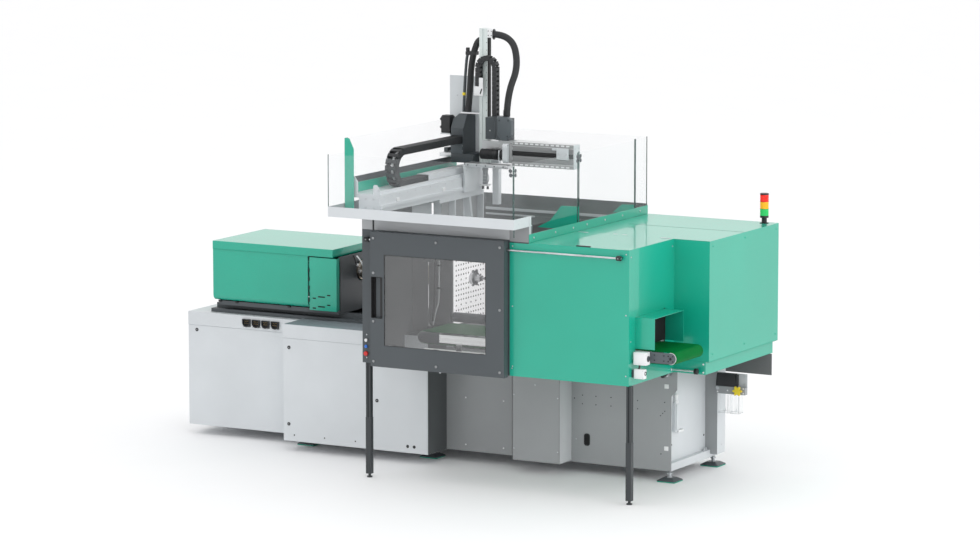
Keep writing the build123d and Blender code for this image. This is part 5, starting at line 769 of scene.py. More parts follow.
class MOULDING_OT_door(bpy.types.Operator):
    """Sliding door: window seal and clips, screws, grip liner, and the trim of its frame"""

    bl_idname = "moulding.door"
    bl_label = "Sliding door"

    def execute(self, context):
        trim = Piece()
        for x, z in (*grid((-78, 477, 1033), (1895, 936)), (-78, 1625), (-78, 1248), (1033, 1416)):
            trim.screw((x, DOOR_FACE, z), NEAR, "screw_grey", 11)
        inside = rounded((20, 1065), (909, 1769), 4)
        trim.ring(rounded((17, 1062), (912, 1772), 6), inside, "y", DOOR_FACE - 0.6, DOOR_FACE + 6, "black_moulding")
        inside = rounded((-96, 1275), (-1, 1592), 4)
        trim.ring(rounded((-99, 1272), (3, 1595), 4), inside, "y", DOOR_FACE - 0.8, DOOR_FACE + 1, "seal_rubber")
        trim.block((-97, DOOR_FACE + 33, 1275), (-74, DOOR_FACE + 36, 1592), "hole_painted_shade")
        trim.block((-30, DOOR_FACE + 20, 1280), (-6, DOOR_FACE + 36, 1587), "black_moulding", 4)
        trim.turned((494, -915, 895), DOWN, [(7, 0), (7, 10), (4, 14), (0, 14)], "zinc_plate", 16)
        for x in (-99, 1065):
            trim.block((x, DOOR_FACE + 5, 900), (x + 3, -889, 1940), "seal_rubber", 0.8)
        trim.make("door_trim", "door")
        glazing = Piece()
        for x, z in grid((60, 465, 870), (1056, 1778)):
            glazing.block((x - 18, -934, z - 12), (x + 18, -928, z + 12), "zinc_plate", 1.5)
            glazing.screw((x, -928, z), FAR, size=5)
        glazing.make("window_clips", "door")
        header = Piece()
        for x, z in ((-184, 1125), (-184, 945), (1096, 965)):
            header.screw((x, GUARD_FACE, z), NEAR, size=6)
        header.screws(grid((60, 560, 1060), GUARD_FACE, 2040), NEAR, "dark_coat", 5)
        # The header sheet is painted lighter than its bracket, against the shadow of the ledge
        sheet = rounded((-220, 1948), (1076, 2058), 3)
        header.plate(sheet, "y", GUARD_FACE - 1.2, GUARD_FACE, "header_painted_light", 0.6)
        sheet = [(1078, 1938), (1240, 1938), (1241, 2058), (1078, 2058)]
        header.plate(sheet, "y", GUARD_FACE - 1.2, GUARD_FACE + 4, "bracket_coat", 0.6)
        header.block((-128, GUARD_FACE - 2, 905), (-112, GUARD_FACE, 2055), "black_moulding", 0.5)
        for z, radius, lip in ((1082, 19, 15.5), (1033, 19, 15.5), (977, 23, 20)):
            collar = [(radius, 0), (radius, 1.2), (lip, 2), (lip, 0.4), (0, 0.4)]
            header.turned((-186, GUARD_FACE, z), NEAR, collar, "dark_coat")
        header.make("door_frame_trim", "machine")
        return {"FINISHED"}


class MOULDING_OT_rods(bpy.types.Operator):
    """Guide rods of the door, their holders and the buffer below the cover"""

    bl_idname = "moulding.rods"
    bl_label = "Guide rods"

    def execute(self, context):
        rods = Piece()
        y, z = -897, 1874
        rods.turned((-145, y, z), RIGHT, [(7, 0), (8, 1.5), (8, 2143.5), (7, 2145)], "ground_steel")
        for left in (-187, 2000):
            rods.turned((left, y, z), RIGHT, [(15, 0), (19, 4), (19, 38), (15, 42)], "black_moulding", 28)
            rods.block((left + 2, y, z - 8), (left + 40, GUARD_FACE, z + 8), "black_moulding", 2)
            clamp_screw = [(5, 0), (5, 1.6), (3, 1.6), (3, 0.4), (0, 0.4)]
            rods.turned((left + 21, y - 18, z), NEAR, clamp_screw, "zinc_plate", 12)
        for end, along in ((-187, LEFT), (2042, RIGHT)):
            rods.disc((end, y, z), along, 9, 0.6, "zinc_plate", 20)
        y, z = -158, 933
        rods.turned((GUARD_END, y, z), RIGHT, [(14, 0), (14, 6), (8, 8), (8, 198)], "ground_steel")
        buffer = [(14, 0), (24, 2), (24, 5), (19, 8), (23, 11), (19, 14), (24, 17), (24, 26), (18, 29.4), (0, 29.4)]
        rods.turned((2292, y, z), RIGHT, buffer, "black_moulding", 28)
        rods.make("door_rods", "machine", ("guide_rods",), "steel")
        return {"FINISHED"}


class MOULDING_OT_guards(bpy.types.Operator):
    """Screws, seams and hinges of the front guard, its flap and the clamp cover"""

    bl_idname = "moulding.guards"
    bl_label = "Guards"

    def execute(self, context):
        trim = Piece()
        trim.screws(grid((2069, 1101), GUARD_FACE, (1903, 1442, 981)), NEAR, size=6)
        trim.screws(grid(2347, -118, (984, 921)), NEAR, "white_moulding", 7)
        trim.screws(grid(COVER_END, (-60, 500, 1060), (1890, 1060)), RIGHT, "teal_coat", 7)
        for y, z in ((-150, 1880), (-840, 1240), (-840, 1880)):
            trim.screw((GUARD_END, y, z), RIGHT, size=6)
        for x in (1560, 1640):
            trim.block((x, -124, COVER_TOP), (x + 36, -92, COVER_TOP + 3.6), "zinc_plate", 1)
        trim.block((1390, 492, COVER_TOP), (2390, 494.5, COVER_TOP + 0.7), "seal_rubber")
        trim.block((1250.5, -116, COVER_TOP - 0.4), (2392, -113.5, COVER_TOP + 0.8), "seal_rubber")
        trim.block((2030, -869, COVER_TOP), (2092, -866, COVER_TOP + 4.4), "black_moulding", 0.5)
        trim.block((GUARD_END - 0.4, -290, 1160), (GUARD_END + 1.6, -270, 1425), "seal_rubber", 0.5)
        trim.block((2100, -764, 1184), (2103, -281, 1415), "hole_painted_shade", 0.5)
        trim.block((1252, -119, 1003), (COVER_END, -117.5, 1007), "teal_rubber")
        trim.block((COVER_END - 0.5, -118, 1003), (COVER_END + 0.6, 1105, 1007), "teal_rubber")
        trim.make("guard_trim", "machine")
        flap = Piece()
        flap.plate(rounded((1640, -868), (1760, -846), 6), "z", 1936, 1944, "black_moulding", 2)
        for x in (1320, 2030):
            flap.block((x - 40, -150, 1935.5), (x + 40, -126, 1938.5), "zinc_plate", 1)
            flap.screws(grid((x - 22, x + 22), -138, 1938.5), UP, size=4)
        flap.make("flap_trim", "flap")
        return {"FINISHED"}


class MOULDING_OT_conveyor(bpy.types.Operator):
    """Conveyor: side plates, profiles, ties and rails, with the drive motor and switch box"""

    bl_idname = "moulding.conveyor"
    bl_label = "Conveyor"

    def execute(self, context):
        bed = Piece()
        axle = 1122
        for outside, inside in ((-760, -752), (-293, -301)):
            way = 1 if inside > outside else -1
            outward = (0, -way, 0)
            for centre, inward, reach in ((2387, -1, 217), (250, 1, 147)):
                plate = [
                    (centre - inward * 42 * sin(radians(a)), axle + 42 * cos(radians(a))) for a in range(0, 181, 12)
                ]
                plate += [(centre + inward * reach, axle - 42), (centre + inward * reach, axle + 42)]
                bed.plate(plate, "y", outside, inside, "robot_front", 1.2)
                spots = [centre + inward * (step - 41) for step in (21, 59, 96, 175)]
                bed.screws(grid(spots, outside, (axle + 20, axle - 20)), outward, "black_moulding", 5.5)
                bed.disc((centre, inside, axle), outward, 9, 8.6, "black_moulding", 24)
                bed.turned((centre, inside, axle), outward, [(45, 0), (45, 4), (40, 4)], "white_moulding", 40)
            groove = outside + way * 5
            profile = [(outside, 31), (outside, 20), (groove, 20), (groove, 10), (outside, 10), (outside, -10)]
            profile += [(groove, -10), (groove, -20), (outside, -20), (outside, -31), (inside, -31), (inside, 31)]
            # The side profiles glow a little: painted light
            bed.plate([(y, axle + z) for y, z in profile], "x", 398, 2170, "profile_painted_light")
            near, far = sorted((outside, outside + way * 3))
            bed.block((398, near, axle + 28), (2170, far, axle + 31), "white_moulding")
            near, far = sorted((outside, inside))
            for leg in (570, 1967):
                bed.block((leg - 25, near, 1036), (leg + 25, far, 1091), "anodised_profile", 1)
                bed.screws(grid((leg - 12, leg + 12), outside, 1078), outward, size=5)
        for tie in (550, 1318.5, 1987):
            bed.block((tie - 20, -752, 1107), (tie + 20, -301, 1137), "anodised_profile", 2)
        for near in (-760, -301):
            # The rails glow a little: painted light
            rail = [(0, 0), (30, 0), (30, 30), (0, 30), (0, 20), (5, 18), (5, 12), (0, 10)]
            bed.plate([(near + y, 1006 + z) for y, z in rail], "x", 261, 2090, "profile_painted_light")
        bed.make("conveyor_bed", "machine", ("conveyor_frame",), "alu")
        drive = Piece()
        drive.block((2110, -832, 1066), (2219, -760.3, 1164), "white_moulding", 9)
        drive.block((2120, -838, 1078), (2209, -831, 1152), "white_moulding", 3)
        drive.turned((2219, -796, 1115), RIGHT, [(22, 0), (22, 5), (18, 7), (0, 7)], "robot_coat")
        drive.block((2094.3, -825, 968), (2118, -795, 1025), "robot_coat", 2)
        drive.block((2116, -832, 962), (2202, -787, 1036), "white_moulding", 6)
        drive.turned((2202, -808, 1003), RIGHT, [(15, 0), (15, 3), (11, 3), (10, 0.5), (0, 0.5)], "black_moulding")
        drive.disc((2202.4, -808, 1003), RIGHT, 8, 0.6, "white_moulding", 24)
        route = [(2150, -800, 1067), (2150, -800, 1056), (2148, -802, 1046), (2148, -805, 1035)]
        drive.pipe(route, 7, "black_moulding")
        drive.screws(grid((2126, 2192), -832, (1026, 972)), NEAR, size=3.5)
        drive.make("conveyor_motor", "machine", ("conveyor_drive",), "white_plastic")
        return {"FINISHED"}


def looped(middle, radius, first, second, pitch):
    """Places of links along a run, a half turn and a second run: (along, across, angle turned)."""
    way = 1 if middle > second else -1
    lengths = (abs(middle - first), pi * radius, abs(middle - second))
    count = round(sum(lengths) / pitch)
    places = []
    for number in range(count):
        gone = (number + 0.5) * sum(lengths) / count
        if gone < lengths[0]:
            places.append((first + way * gone, radius, 0.0))
        elif gone < lengths[0] + lengths[1]:
            angle = (gone - lengths[0]) / radius
            places.append((middle + way * radius * sin(angle), radius * cos(angle), angle))
        else:
            places.append((middle - way * (gone - lengths[0] - lengths[1]), -radius, pi))
    return way, places


def chain_link(pitch, width, height):
    """One link of an energy chain: two side plates with round ends, hinge bosses and two cross bars."""
    link = Piece()
    half = pitch / 2
    nylon = "chain_nylon"
    for side in (-1, 1):
        inner = sorted((side * (width / 2 - 5), side * (width / 2 - 10)))
        outer = sorted((side * width / 2, side * (width / 2 - 5)))
        link.plate(rounded((-half - 5, -height * 0.34), (half - 6, height * 0.34), height * 0.3), "y", *inner, nylon)
        link.plate(rounded((-half + 0.5, -height / 2), (half - 0.5, height / 2), height * 0.06), "y", *outer, nylon)
        rim = [(height * 0.15, 0), (height * 0.15, 0.9), (height * 0.09, 0.9), (0, 0.4)]
        link.turned((half * 0.45, side * (width / 2 - 1), 0), (0, side, 0), rim, nylon, 12)
    for level in (-1, 1):
        low, high = sorted((level * height / 2, level * (height / 2 - 5)))
        link.block((-half * 0.62, -width / 2 + 4, low), (half * 0.62, width / 2 - 4, high), nylon, 1.5)
    return link


class MOULDING_OT_chains(bpy.types.Operator):
    """Energy chains of the robot, link by link, with their cables"""

    bl_idname = "moulding.chains"
    bl_label = "Energy chains"

    def execute(self, context):
        low, high = node_box("cross_chain")
        loop = self.chain("yz", (low.x + high.x) / 2, (96, 55), (-333, 2372.3, 127.5), (700, 552), 46)
        loop.make("cross_chain_links", "cross_chain", ("cross_chain",))
        low, high = node_box("upright_chain")
        side = (low.y + high.y) / 2
        loop = self.chain("zx", side, (54, 40), (3084, 73, 76), (3084, 2680), 38)
        loop.make("upright_chain_links", "upright_chain", ("upright_chain",))
        leg = Piece()
        turn = Matrix((DOWN, FAR, RIGHT)).to_4x4()
        places = [Matrix.Translation((-3, side, z)) @ turn for z in (2954, 2991, 3028, 3065)]
        leg.repeat(chain_link(37, 54, 40), places)
        made = leg.make("upright_chain_leg")
        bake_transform(made)
        return {"FINISHED"}

    def chain(self, plane, side, size, bend, ends, pitch):
        """Links and cables along one loop, which lies across the side direction."""
        width, height = size
        middle, level, radius = bend
        way, places = looped(middle, radius, *ends, pitch)
        axes, origin = ((FAR, UP, RIGHT), (0, 0, level)) if plane == "yz" else ((UP, LEFT, FAR), (level, 0, 0))
        along, out, across = (Vector(axis) for axis in axes)
        centres, turns = [], []
        for run, rise, angle in places:
            centre = along * run + out * rise + across * side + Vector(origin)
            forward = along * way * cos(angle) - out * sin(angle)
            outward = along * way * sin(angle) + out * cos(angle)
            turn = Matrix((forward, outward.cross(forward), outward)).transposed().to_4x4()
            turn.translation = centre
            centres.append(centre)
            turns.append(turn)
        links = Piece()
        links.repeat(chain_link(pitch, width, height), turns)
        for offset, thick, finish in ((-0.26, 9, "hose_rubber"), (0.0, 8, "cable_white"), (0.24, 10, "hose_rubber")):
            links.pipe([centre + across * width * offset for centre in centres], thick * height / 55, finish, 2)
        return links


class MOULDING_OT_carriage(bpy.types.Operator):
    """Robot carriage: block, runner, side and back plates, hanging duct, motors and cover screws"""

    bl_idname = "moulding.carriage"
    bl_label = "Robot carriage"

    def execute(self, context):
        low, high = node_box("robot_carriage")
        body = Piece()
        body.block((-246, 570, 2315), (-46, 769.9, 2386), "robot_coat", 2)
        body.block((-352, 570, 2356), (-246.1, 769.9, 2386), "anodised_profile", 2)
        body.block((-350, 640, 2386.1), (-312, 706, 2420), "robot_coat", 2)
        body.turned((-285, 640, 2386), UP, [(16, 0), (17, 2), (17, 14), (13, 17), (0, 17)], "robot_coat")
        body.block((-127, 570, 2237.3), (-87, 762, 2314.9), "dark_coat", 2)
        body.block((-62, 440, 2095), (-46.1, 762, 2314.8), "white_coat", 2)
        body.block((-46, 440, 2304), (345, 540, 2334), "anodised_profile", 2)
        body.screws(grid(range(-20, 301, 80), 440, 2319), NEAR, "robot_coat", 6)
        body.block((-46, 715, 2304), (108, 762, 2334), "white_coat", 1.5)
        body.block((52, 715, 1977), (108, 762, 2303.9), "white_coat", 2)
        outer = rounded((low.x, 2315), (0, high.z), 3)
        body.ring(outer, rounded((-243, 2468.3), (-141, 2531.3), 2), "y", 770, 778, "white_coat")
        for x, z in ((-190, 2950), (-245, 2850), (-300, 2830), (-60, 2930), (-330, 2420), (-30, 2420)):
            body.screw((x, 770, z), NEAR, size=6)
        body.screws(grid(-46, 470, (2130, 2270)), RIGHT, size=7)
        body.screws(grid(80, 715, (2010, 2260)), NEAR, size=5)
        body.block((-60, 436, 2150), (-48, 440.5, 2290), "zinc_plate", 1)
        body.make("carriage_body", "carriage", ("robot_carriage",))
        motors = Piece()
        motors.block((-346, 582, 2545), (-264, 668, 2677), "black_moulding", 6)
        motors.block((-350, 581, 2533), (-262, 669, 2544), "zinc_plate", 1.5)
        motors.block((-342, 590, 2676), (-270, 660, 2685), "black_moulding", 3)
        for z in (2590, 2655):
            motors.turned((-346, 618, z), NEAR, [(9, 0), (11, 4), (11, 32), (8, 36)], "black_moulding", 16)
            motors.block((-352, 600, z - 12), (-338, 634, z + 12), "black_moulding", 2)
        motors.screws(grid((-342, -270), (589, 661), 2544), UP, size=4)
        ribs = [(34, 0), (41, 2)]
        for rise in range(6, 111, 13):
            ribs += [(41.5, rise), (38.5, rise + 2), (38.5, rise + 6), (41.5, rise + 8)]
        ribs += [(42.4, 126), (42.4, 150), (36, 150.5), (36, 158), (30, 160)]
        motors.turned((78, 490.5, 2408.5), RIGHT, ribs, "black_moulding", 40)
        motors.block((250, 449, 2367), (259.5, 532, 2450), "white_coat", 8)
        motors.block((110, 470, 2444), (190, 512, 2450.6), "black_moulding", 2)
        motors.make("robot_drive_motors", "carriage", ("robot_motors",))
        trim = Piece()
        for y, z in ((590, 2440), (750, 2440), (590, 2620), (750, 2640)):
            trim.screw((-133, y, z), RIGHT, "robot_coat", 6)
        trim.screws(grid((-236, -143), 570, (2410, 2450)), NEAR, size=4)
        trim.block((-246, 567, 2386.2), (-142, 569.8, 2466), "robot_front", 1)
        trim.make("left_cover_screws", "carriage")
        return {"FINISHED"}


class MOULDING_OT_length_axis(bpy.types.Operator):
    """Lengthwise rail of the robot: slotted profile, belt, clamp, linings, end plate and motor flange"""

    bl_idname = "moulding.length_axis"
    bl_label = "Length axis"

    def execute(self, context):
        left, right, near, far, bottom, top = 380, 934, 440, 540, 2334, 2527
        groove = near + 7
        rail = Piece()
        section = [(near, bottom), (near, bottom + 28), (groove, bottom + 28), (groove, bottom + 46)]
        section += [(near, bottom + 46), (near, bottom + 74), (near + 16, bottom + 74), (near + 16, top - 66)]
        section += [(near, top - 66), (near, top - 42), (groove, top - 42), (groove, top - 24)]
        section += [(near, top - 24), (near, top), (far, top), (far, bottom)]
        rail.plate(section, "x", left, right - 6, "anodised_profile")
        rail.plate(rounded((near - 0.2, bottom + 0.5), (far, top - 0.5), 3), "x", right - 6, right, "white_coat", 1)
        rail.block((left + 4, near + 2, bottom + 84), (right - 6, near + 16, bottom + 118), "seal_rubber", 1)
        for low, high in ((bottom + 34, bottom + 82), (bottom + 120, top - 34)):
            rail.block((left + 4, near - 0.5, low), (right - 6, near + 6, high), "rail_grey", 0.5)
        for z in (bottom + 15, top - 14):
            rail.block((left + 4, near - 0.4, z - 13), (right - 6, near + 2, z + 13), "shaded_panel", 0.3)
        for x, z in grid(range(left + 24, left + 485, 46), (bottom + 13, top - 12)):
            rail.plate(rounded((x, z - 6), (x + 30, z + 6), 4), "y", near - 1.2, near, "white_moulding", 0.3)
        rail.block((784, near - 14, bottom + 74), (888, near + 10, top - 28), "white_coat", 3)
        rail.block((740, near - 8, top - 50), (786, near + 10, top - 28), "white_coat", 3)
        rail.screws(grid((800, 872), near - 14, (bottom + 76, top - 74)), NEAR, size=5)
        rail.screws(grid(right, (near + 20, far - 20), (bottom + 30, top - 30)), RIGHT, size=6)
        rail.make("length_rail", "carriage", ("length_beam",))
        outline = []
        for step in range(72):
            angle = 2 * pi * step / 72
            reach = 1 + 0.3 * abs(sin(2 * angle)) ** 3
            outline.append((470 + 56 * reach * cos(angle), 2430 + 76 * reach * sin(angle)))
        flange = Piece()
        flange.plate(outline, "x", 306, 350, "white_coat", 3)
        flange.block((350, 441, 2352), (379.5, 536, 2508), "shaded_panel", 4)
        flange.screws(grid(350, (424, 516), (2362, 2498)), RIGHT, size=6)
        flange.turned((259, 490, 2410), RIGHT, [(40, 0), (40, 16), (50, 20), (50, 46), (44, 48)], "black_moulding", 36)
        flange.make("motor_flange", "carriage")
        return {"FINISHED"}


class MOULDING_OT_column(bpy.types.Operator):
    """Upright column with its belt and hose block, the chain's bracket and the nose of the slide's cover"""

    bl_idname = "moulding.column"
    bl_label = "Column"

    def execute(self, context):
        left, right, near, far, bottom, top = -20, 50, 630, 700, 2310, 3391
        groove, slot = near + 6, right - 6
        post = Piece()
        shape = [(left, near), (left + 26, near), (left + 26, groove), (left + 44, groove), (left + 44, near)]
        shape += [(right, near), (right, near + 26), (slot, near + 26), (slot, far - 26)]
        shape += [(right, far - 26), (right, far), (left, far)]
        post.plate(shape, "z", bottom, top - 5, "column_white")
        post.plate(rounded((left, near), (right, far), 3), "z", top - 5, top, "column_white", 1)
        post.block((right - 5, near + 27, bottom + 40), (right + 5, far - 27, 3318), "seal_rubber", 1)
        post.block((right - 1, near + 8, bottom + 220), (right + 0.2, far - 4, 3318), "seal_rubber")
        post.block((right, near + 2, 3319), (98, far - 2, top), "white_moulding", 3)
        for at in grid((60, 87), near + 2, (3337, 3372)):
            post.disc(at, NEAR, 4, 0.5)
        for z in (3330, 3362):
            post.turned((98, 655, z), RIGHT, [(27, 0), (27, 2), (24, 3), (0, 3)], "black_moulding")
        post.screws(grid(left + 13, near, range(2400, 3300, 150)), NEAR, size=4)
        for z in range(2380, 3300, 60):
            post.disc((right - 4, near, z), NEAR, 3, 0.5, steps=8)
        post.make("column_post", "column", ("column",))
        bracket = Piece()
        bracket.block((-32, 561, 2861), (49.5, 566, 2934), "white_moulding", 1)
        bracket.block((14, 561, 2934), (49.5, 566, 3004), "white_moulding", 1)
        bracket.block((-24, 566, 2861), (-16, 629.8, 2930), "white_moulding", 1)
        bracket.plate([(22, 2880), (30, 2872), (44, 2912), (36, 2920)], "y", 560.4, 562, "hole_painted_shade")
        bracket.make("chain_bracket", "column")
        nose = Piece()
        shared = [(338, 2717), (372, 2690), (372, 2580), (332, 2529)]
        tip = [(262, 2717), *shared, (292, 2529), (254, 2572), (250, 2700)]
        root = [(225, 2717), *shared, (270, 2529), (222, 2560), (222, 2700)]
        nose.loft([[(x, y, z) for x, z in outline] for outline, y in ((tip, 434), (root, 480))], "robot_front", 2)
        for x, z in ((268, 2690), (348, 2690), (340, 2566)):
            nose.screw((x, 434, z), NEAR, "black_moulding", 6)
        nose.screw((165, 470, 2600), NEAR, size=6)
        nose.make("slide_cover_nose", "slide")
        return {"FINISHED"}


class MOULDING_OT_hoses(bpy.types.Operator):
    """Hoses and the thin cable beside the column, with their cuffs and clamp"""

    bl_idname = "moulding.hoses"
    bl_label = "Robot hoses"

    def execute(self, context):
        right = Piece()
        route = [(98.5, 655, 3346), (262, 655, 3346), (352, 600, 3110), (314, 490, 2900), (305, 490, 2718)]
        right.pipe(route, 27, "hose_rubber", 5)
        for z in (2717.5, 2728, 2738, 2748, 2758):
            right.turned((305, 490, z), UP, [(24, 0), (29, 1.6), (29, 6), (24, 8)], "black_moulding", 28)
        made = right.make("right_hose", "slide", ("robot_hoses",))
        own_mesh(made)
        left = Piece()
        thick = [(-20.5, 3296), (-46, 3296), (-84, 3215), (-114, 3080), (-124, 2889), (-142, 2703)]
        left.pipe([(x, 665, z) for x, z in thick], 26, "hose_rubber", 5)
        thin = [(-90, 662, 3190), (-140, 662, 3187), (-156, 665, 3140), (-176, 665, 2886), (-182, 665, 2703)]
        left.pipe(thin, 12, "robot_coat")
        left.turned((-178, 664, 2846), (0.05, 0, 1), [(10, 0), (15, 1), (15, 22), (10, 23)], "yellow_moulding", 16)
        left.block((-152, 636, 3172), (-58, 694, 3202), "black_moulding", 6)
        left.block((-146, 634, 3202), (-122, 660, 3232), "black_moulding", 4)
        made = left.make("left_hoses", "slide")
        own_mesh(made)
        return {"FINISHED"}


class MOULDING_OT_deck(bpy.types.Operator):
    """Edges and clips of the clear guards, and the screws and linings of the deck and the beam, with painted shade
    sheets between the pedestal ribs
    """

    bl_idname = "moulding.deck"
    bl_label = "Deck"

    def execute(self, context):
        edges = Piece()
        for low, high in (
            ((-387.4, -1104, 2138), (-384, -1096, 2541)),
            ((1229, -1104, 2138), (1232.4, -1096.6, 2541.4)),
            ((1231.4, -1096, 2000), (1238.6, -1093, 2541.4)),
            ((1231.4, -70, 2000), (1238.6, -66.5, 2541.4)),
            ((1235.6, -58.4, 2000), (1242.6, -55, 2549.4)),
            ((1235.6, 884, 2000), (1242.6, 887, 2549.4)),
            ((1235.6, 899, 2000), (1242.6, 902, 2549.4)),
            ((1235.6, 1096, 2000), (1242.6, 1099.4, 2549.4)),
            ((-386, 1093.6, 2000), (-383, 1100.4, 2549.4)),
        ):
            edges.block(low, high, "sheet_edge", 0.4)
        edges.make("pane_edges", "machine")
        clips = Piece()
        button = [(13.5, 0), (15.3, 0.75), (15.3, 3), (13.5, 3.75)]
        for x, z in ((1210, 2506), (1214, 2474)):
            clips.turned((x, -1103, z), NEAR, button, "clip_grey")
        for x, y, upper, lower in ((1238, -1078, 2506, 2474), (1238, -84, 2512, 2478), (1242, -38, 2512, 2478)):
            for z in (upper, lower):
                clips.turned((x, y, z), RIGHT, button, "clip_grey")
        clips.block((1238, -84, 2486), (1245, -38, 2504), "clip_grey", 2)
        clips.make("pane_clips", "machine")
        heads = Piece()
        heads.screws(grid(1246, (-800, -451, -160, 67, 369, 667, 970), 1968), RIGHT, size=8)
        heads.screws(grid(1242, (-1040, -880), 2100), RIGHT, "white_coat", 7)
        heads.screws(grid(-336, GUARD_FACE, (2200, 2400, 2600)), NEAR, "teal_coat", 6)
        heads.make("deck_screws", "machine")
        beam = Piece()
        beam.screws(grid(-75, range(-780, 790, 120), 2195), RIGHT, "white_coat", 6)
        for y in (-600, 120):
            beam.block((-75, y, 2140), (-66, y + 40, 2168), "white_moulding", 3)
        for x, z in (*grid((-200, -130), (2110, 2180)), (-305, 2300), (-90, 2250)):
            beam.screw((x, -849, z), NEAR, size=6)
        beam.block((-316.9, -840, 2296), (-316, 786, 2344), "shadow_coat")
        beam.block((-316.9, -840, 2219), (-316, 786, 2295), "teal_coat")
        # Darker sheets between the pedestal ribs: painted shade
        for low, high in ((206, 330), (344, 560), (592, 789)):
            beam.block((-129.9, low, 1782), (-129, high, 2043), "shaded_panel")
        beam.block((-330, 1101, 1016), (-222.2, 1103.8, 2013), "guard_coat", 1)
        beam.block((-222, -100, 1752), (-219, 210, 2043), "light_panel", 1)
        beam.block((-222, -100, 1016), (-219, 154, 1750), "guard_coat", 1)
        beam.block((-219, 34, 1600), (-217.5, 118, 1746), "shaded_panel", 0.5)
        for low, high, finish in ((2061, 2137, "white_coat"), (2000.5, 2060.5, "light_panel")):
            beam.block((1242.1, GUARD_FACE, low), (1245.5, -839, high), finish, 0.5)
        for low, high, right in ((1880, 1902, 1230), (1840, 1854, 240)):
            beam.block((-210, 1076, low), (right, 1082, high), "light_panel", 1)
        beam.make("beam_screws", "machine")
        return {"FINISHED"}


class MOULDING_OT_injection_unit(bpy.types.Operator):
    """Seams, slots, hinge, feet and fittings of the injection unit"""

    bl_idname = "moulding.injection_unit"
    bl_label = "Injection unit"

    def execute(self, context):
        trim = Piece()
        trim.block((-2207, UNIT_FACE - 4.8, 1539.5), (-1294, UNIT_FACE + 2, 1544.2), "teal_rubber")
        trim.block((-1073.5, UNIT_FACE - 3.8, 1543.5), (-1070.6, 911, 1606.5), "teal_coat", 0.8)
        trim.block((-1299, UNIT_FACE - 0.6, 1118), (-1293, UNIT_FACE + 3, 1541), "hole_painted_shade")
        for z in (1412, 1341, 1271, 1222, 1170):
            trim.turned((-1295, UNIT_FACE - 2, z), UP, [(4, 0), (6, 2), (6, 26), (4, 28)], "black_moulding", 16)
        trim.screw((-1296, UNIT_FACE - 2, 1211), NEAR, "white_moulding", 5)
        for x in (-2159, -2000, -1500):
            trim.turned((x, 130, 1106), UP, [(14, 0), (16, 2), (16, 12), (14, 14)], "black_moulding", 20)
        trim.screw((-1084, UNIT_FACE, 1575), NEAR, "teal_coat", 6)
        trim.screws(grid(-2208, (220, 500, 780), (1200, 1480)), LEFT, "teal_coat", 8)
        trim.block((-2208.6, 300, 1560), (-2207.5, 700, 1590), "seal_rubber")
        trim.make("unit_trim", "injection_unit")
        guard = Piece()
        guard.block((-1291, UNIT_FACE, 1105), (-1038, UNIT_FACE + 3, 1534), "teal_coat", 1)
        guard.block((-1041, UNIT_FACE + 2, 1105), (-1038, UNIT_FACE + 62, 1534), "teal_rubber", 1)
        for left, right, top in ((-1263, -1231, 1202), (-1212, -1146, 1217), (-1127, -1095, 1234)):
            for z in (top, top - 80):
                slot = rounded((left, z - 5), (right, z + 5), 4.9)
                guard.plate(slot, "y", UNIT_FACE - 1, UNIT_FACE + 1, "hole_painted_shade")
        for z in (1150, 1300, 1450):
            guard.turned((-1293, UNIT_FACE + 4, z), UP, [(4, 0), (5.5, 1.5), (5.5, 38), (4, 40)], "teal_rubber", 16)
        guard.make("guard_sheet", "nozzle_guard", ("nozzle_guard",))
        fittings = Piece()
        nipple = [(11, 0), (12, 2), (12, 16), (8, 18), (8, 30), (0, 31)]
        for at in ((-1010, 395, 1452), (-1004, 430, 1398), (-940, 388, 1440), (-880, 392, 1450), (-820, 396, 1448)):
            fittings.turned(at, (0, -1, 0.2), nipple, "zinc_plate", 12)
        fittings.pipe([(-1010, 366, 1458), (-1010, 350, 1500), (-1040, 380, 1530)], 6, "black_moulding", 2)
        fittings.pipe([(-940, 360, 1446), (-940, 340, 1490), (-1000, 360, 1530)], 6, "cable_white", 2)
        fittings.make("barrel_fittings", "injection_unit")
        return {"FINISHED"}


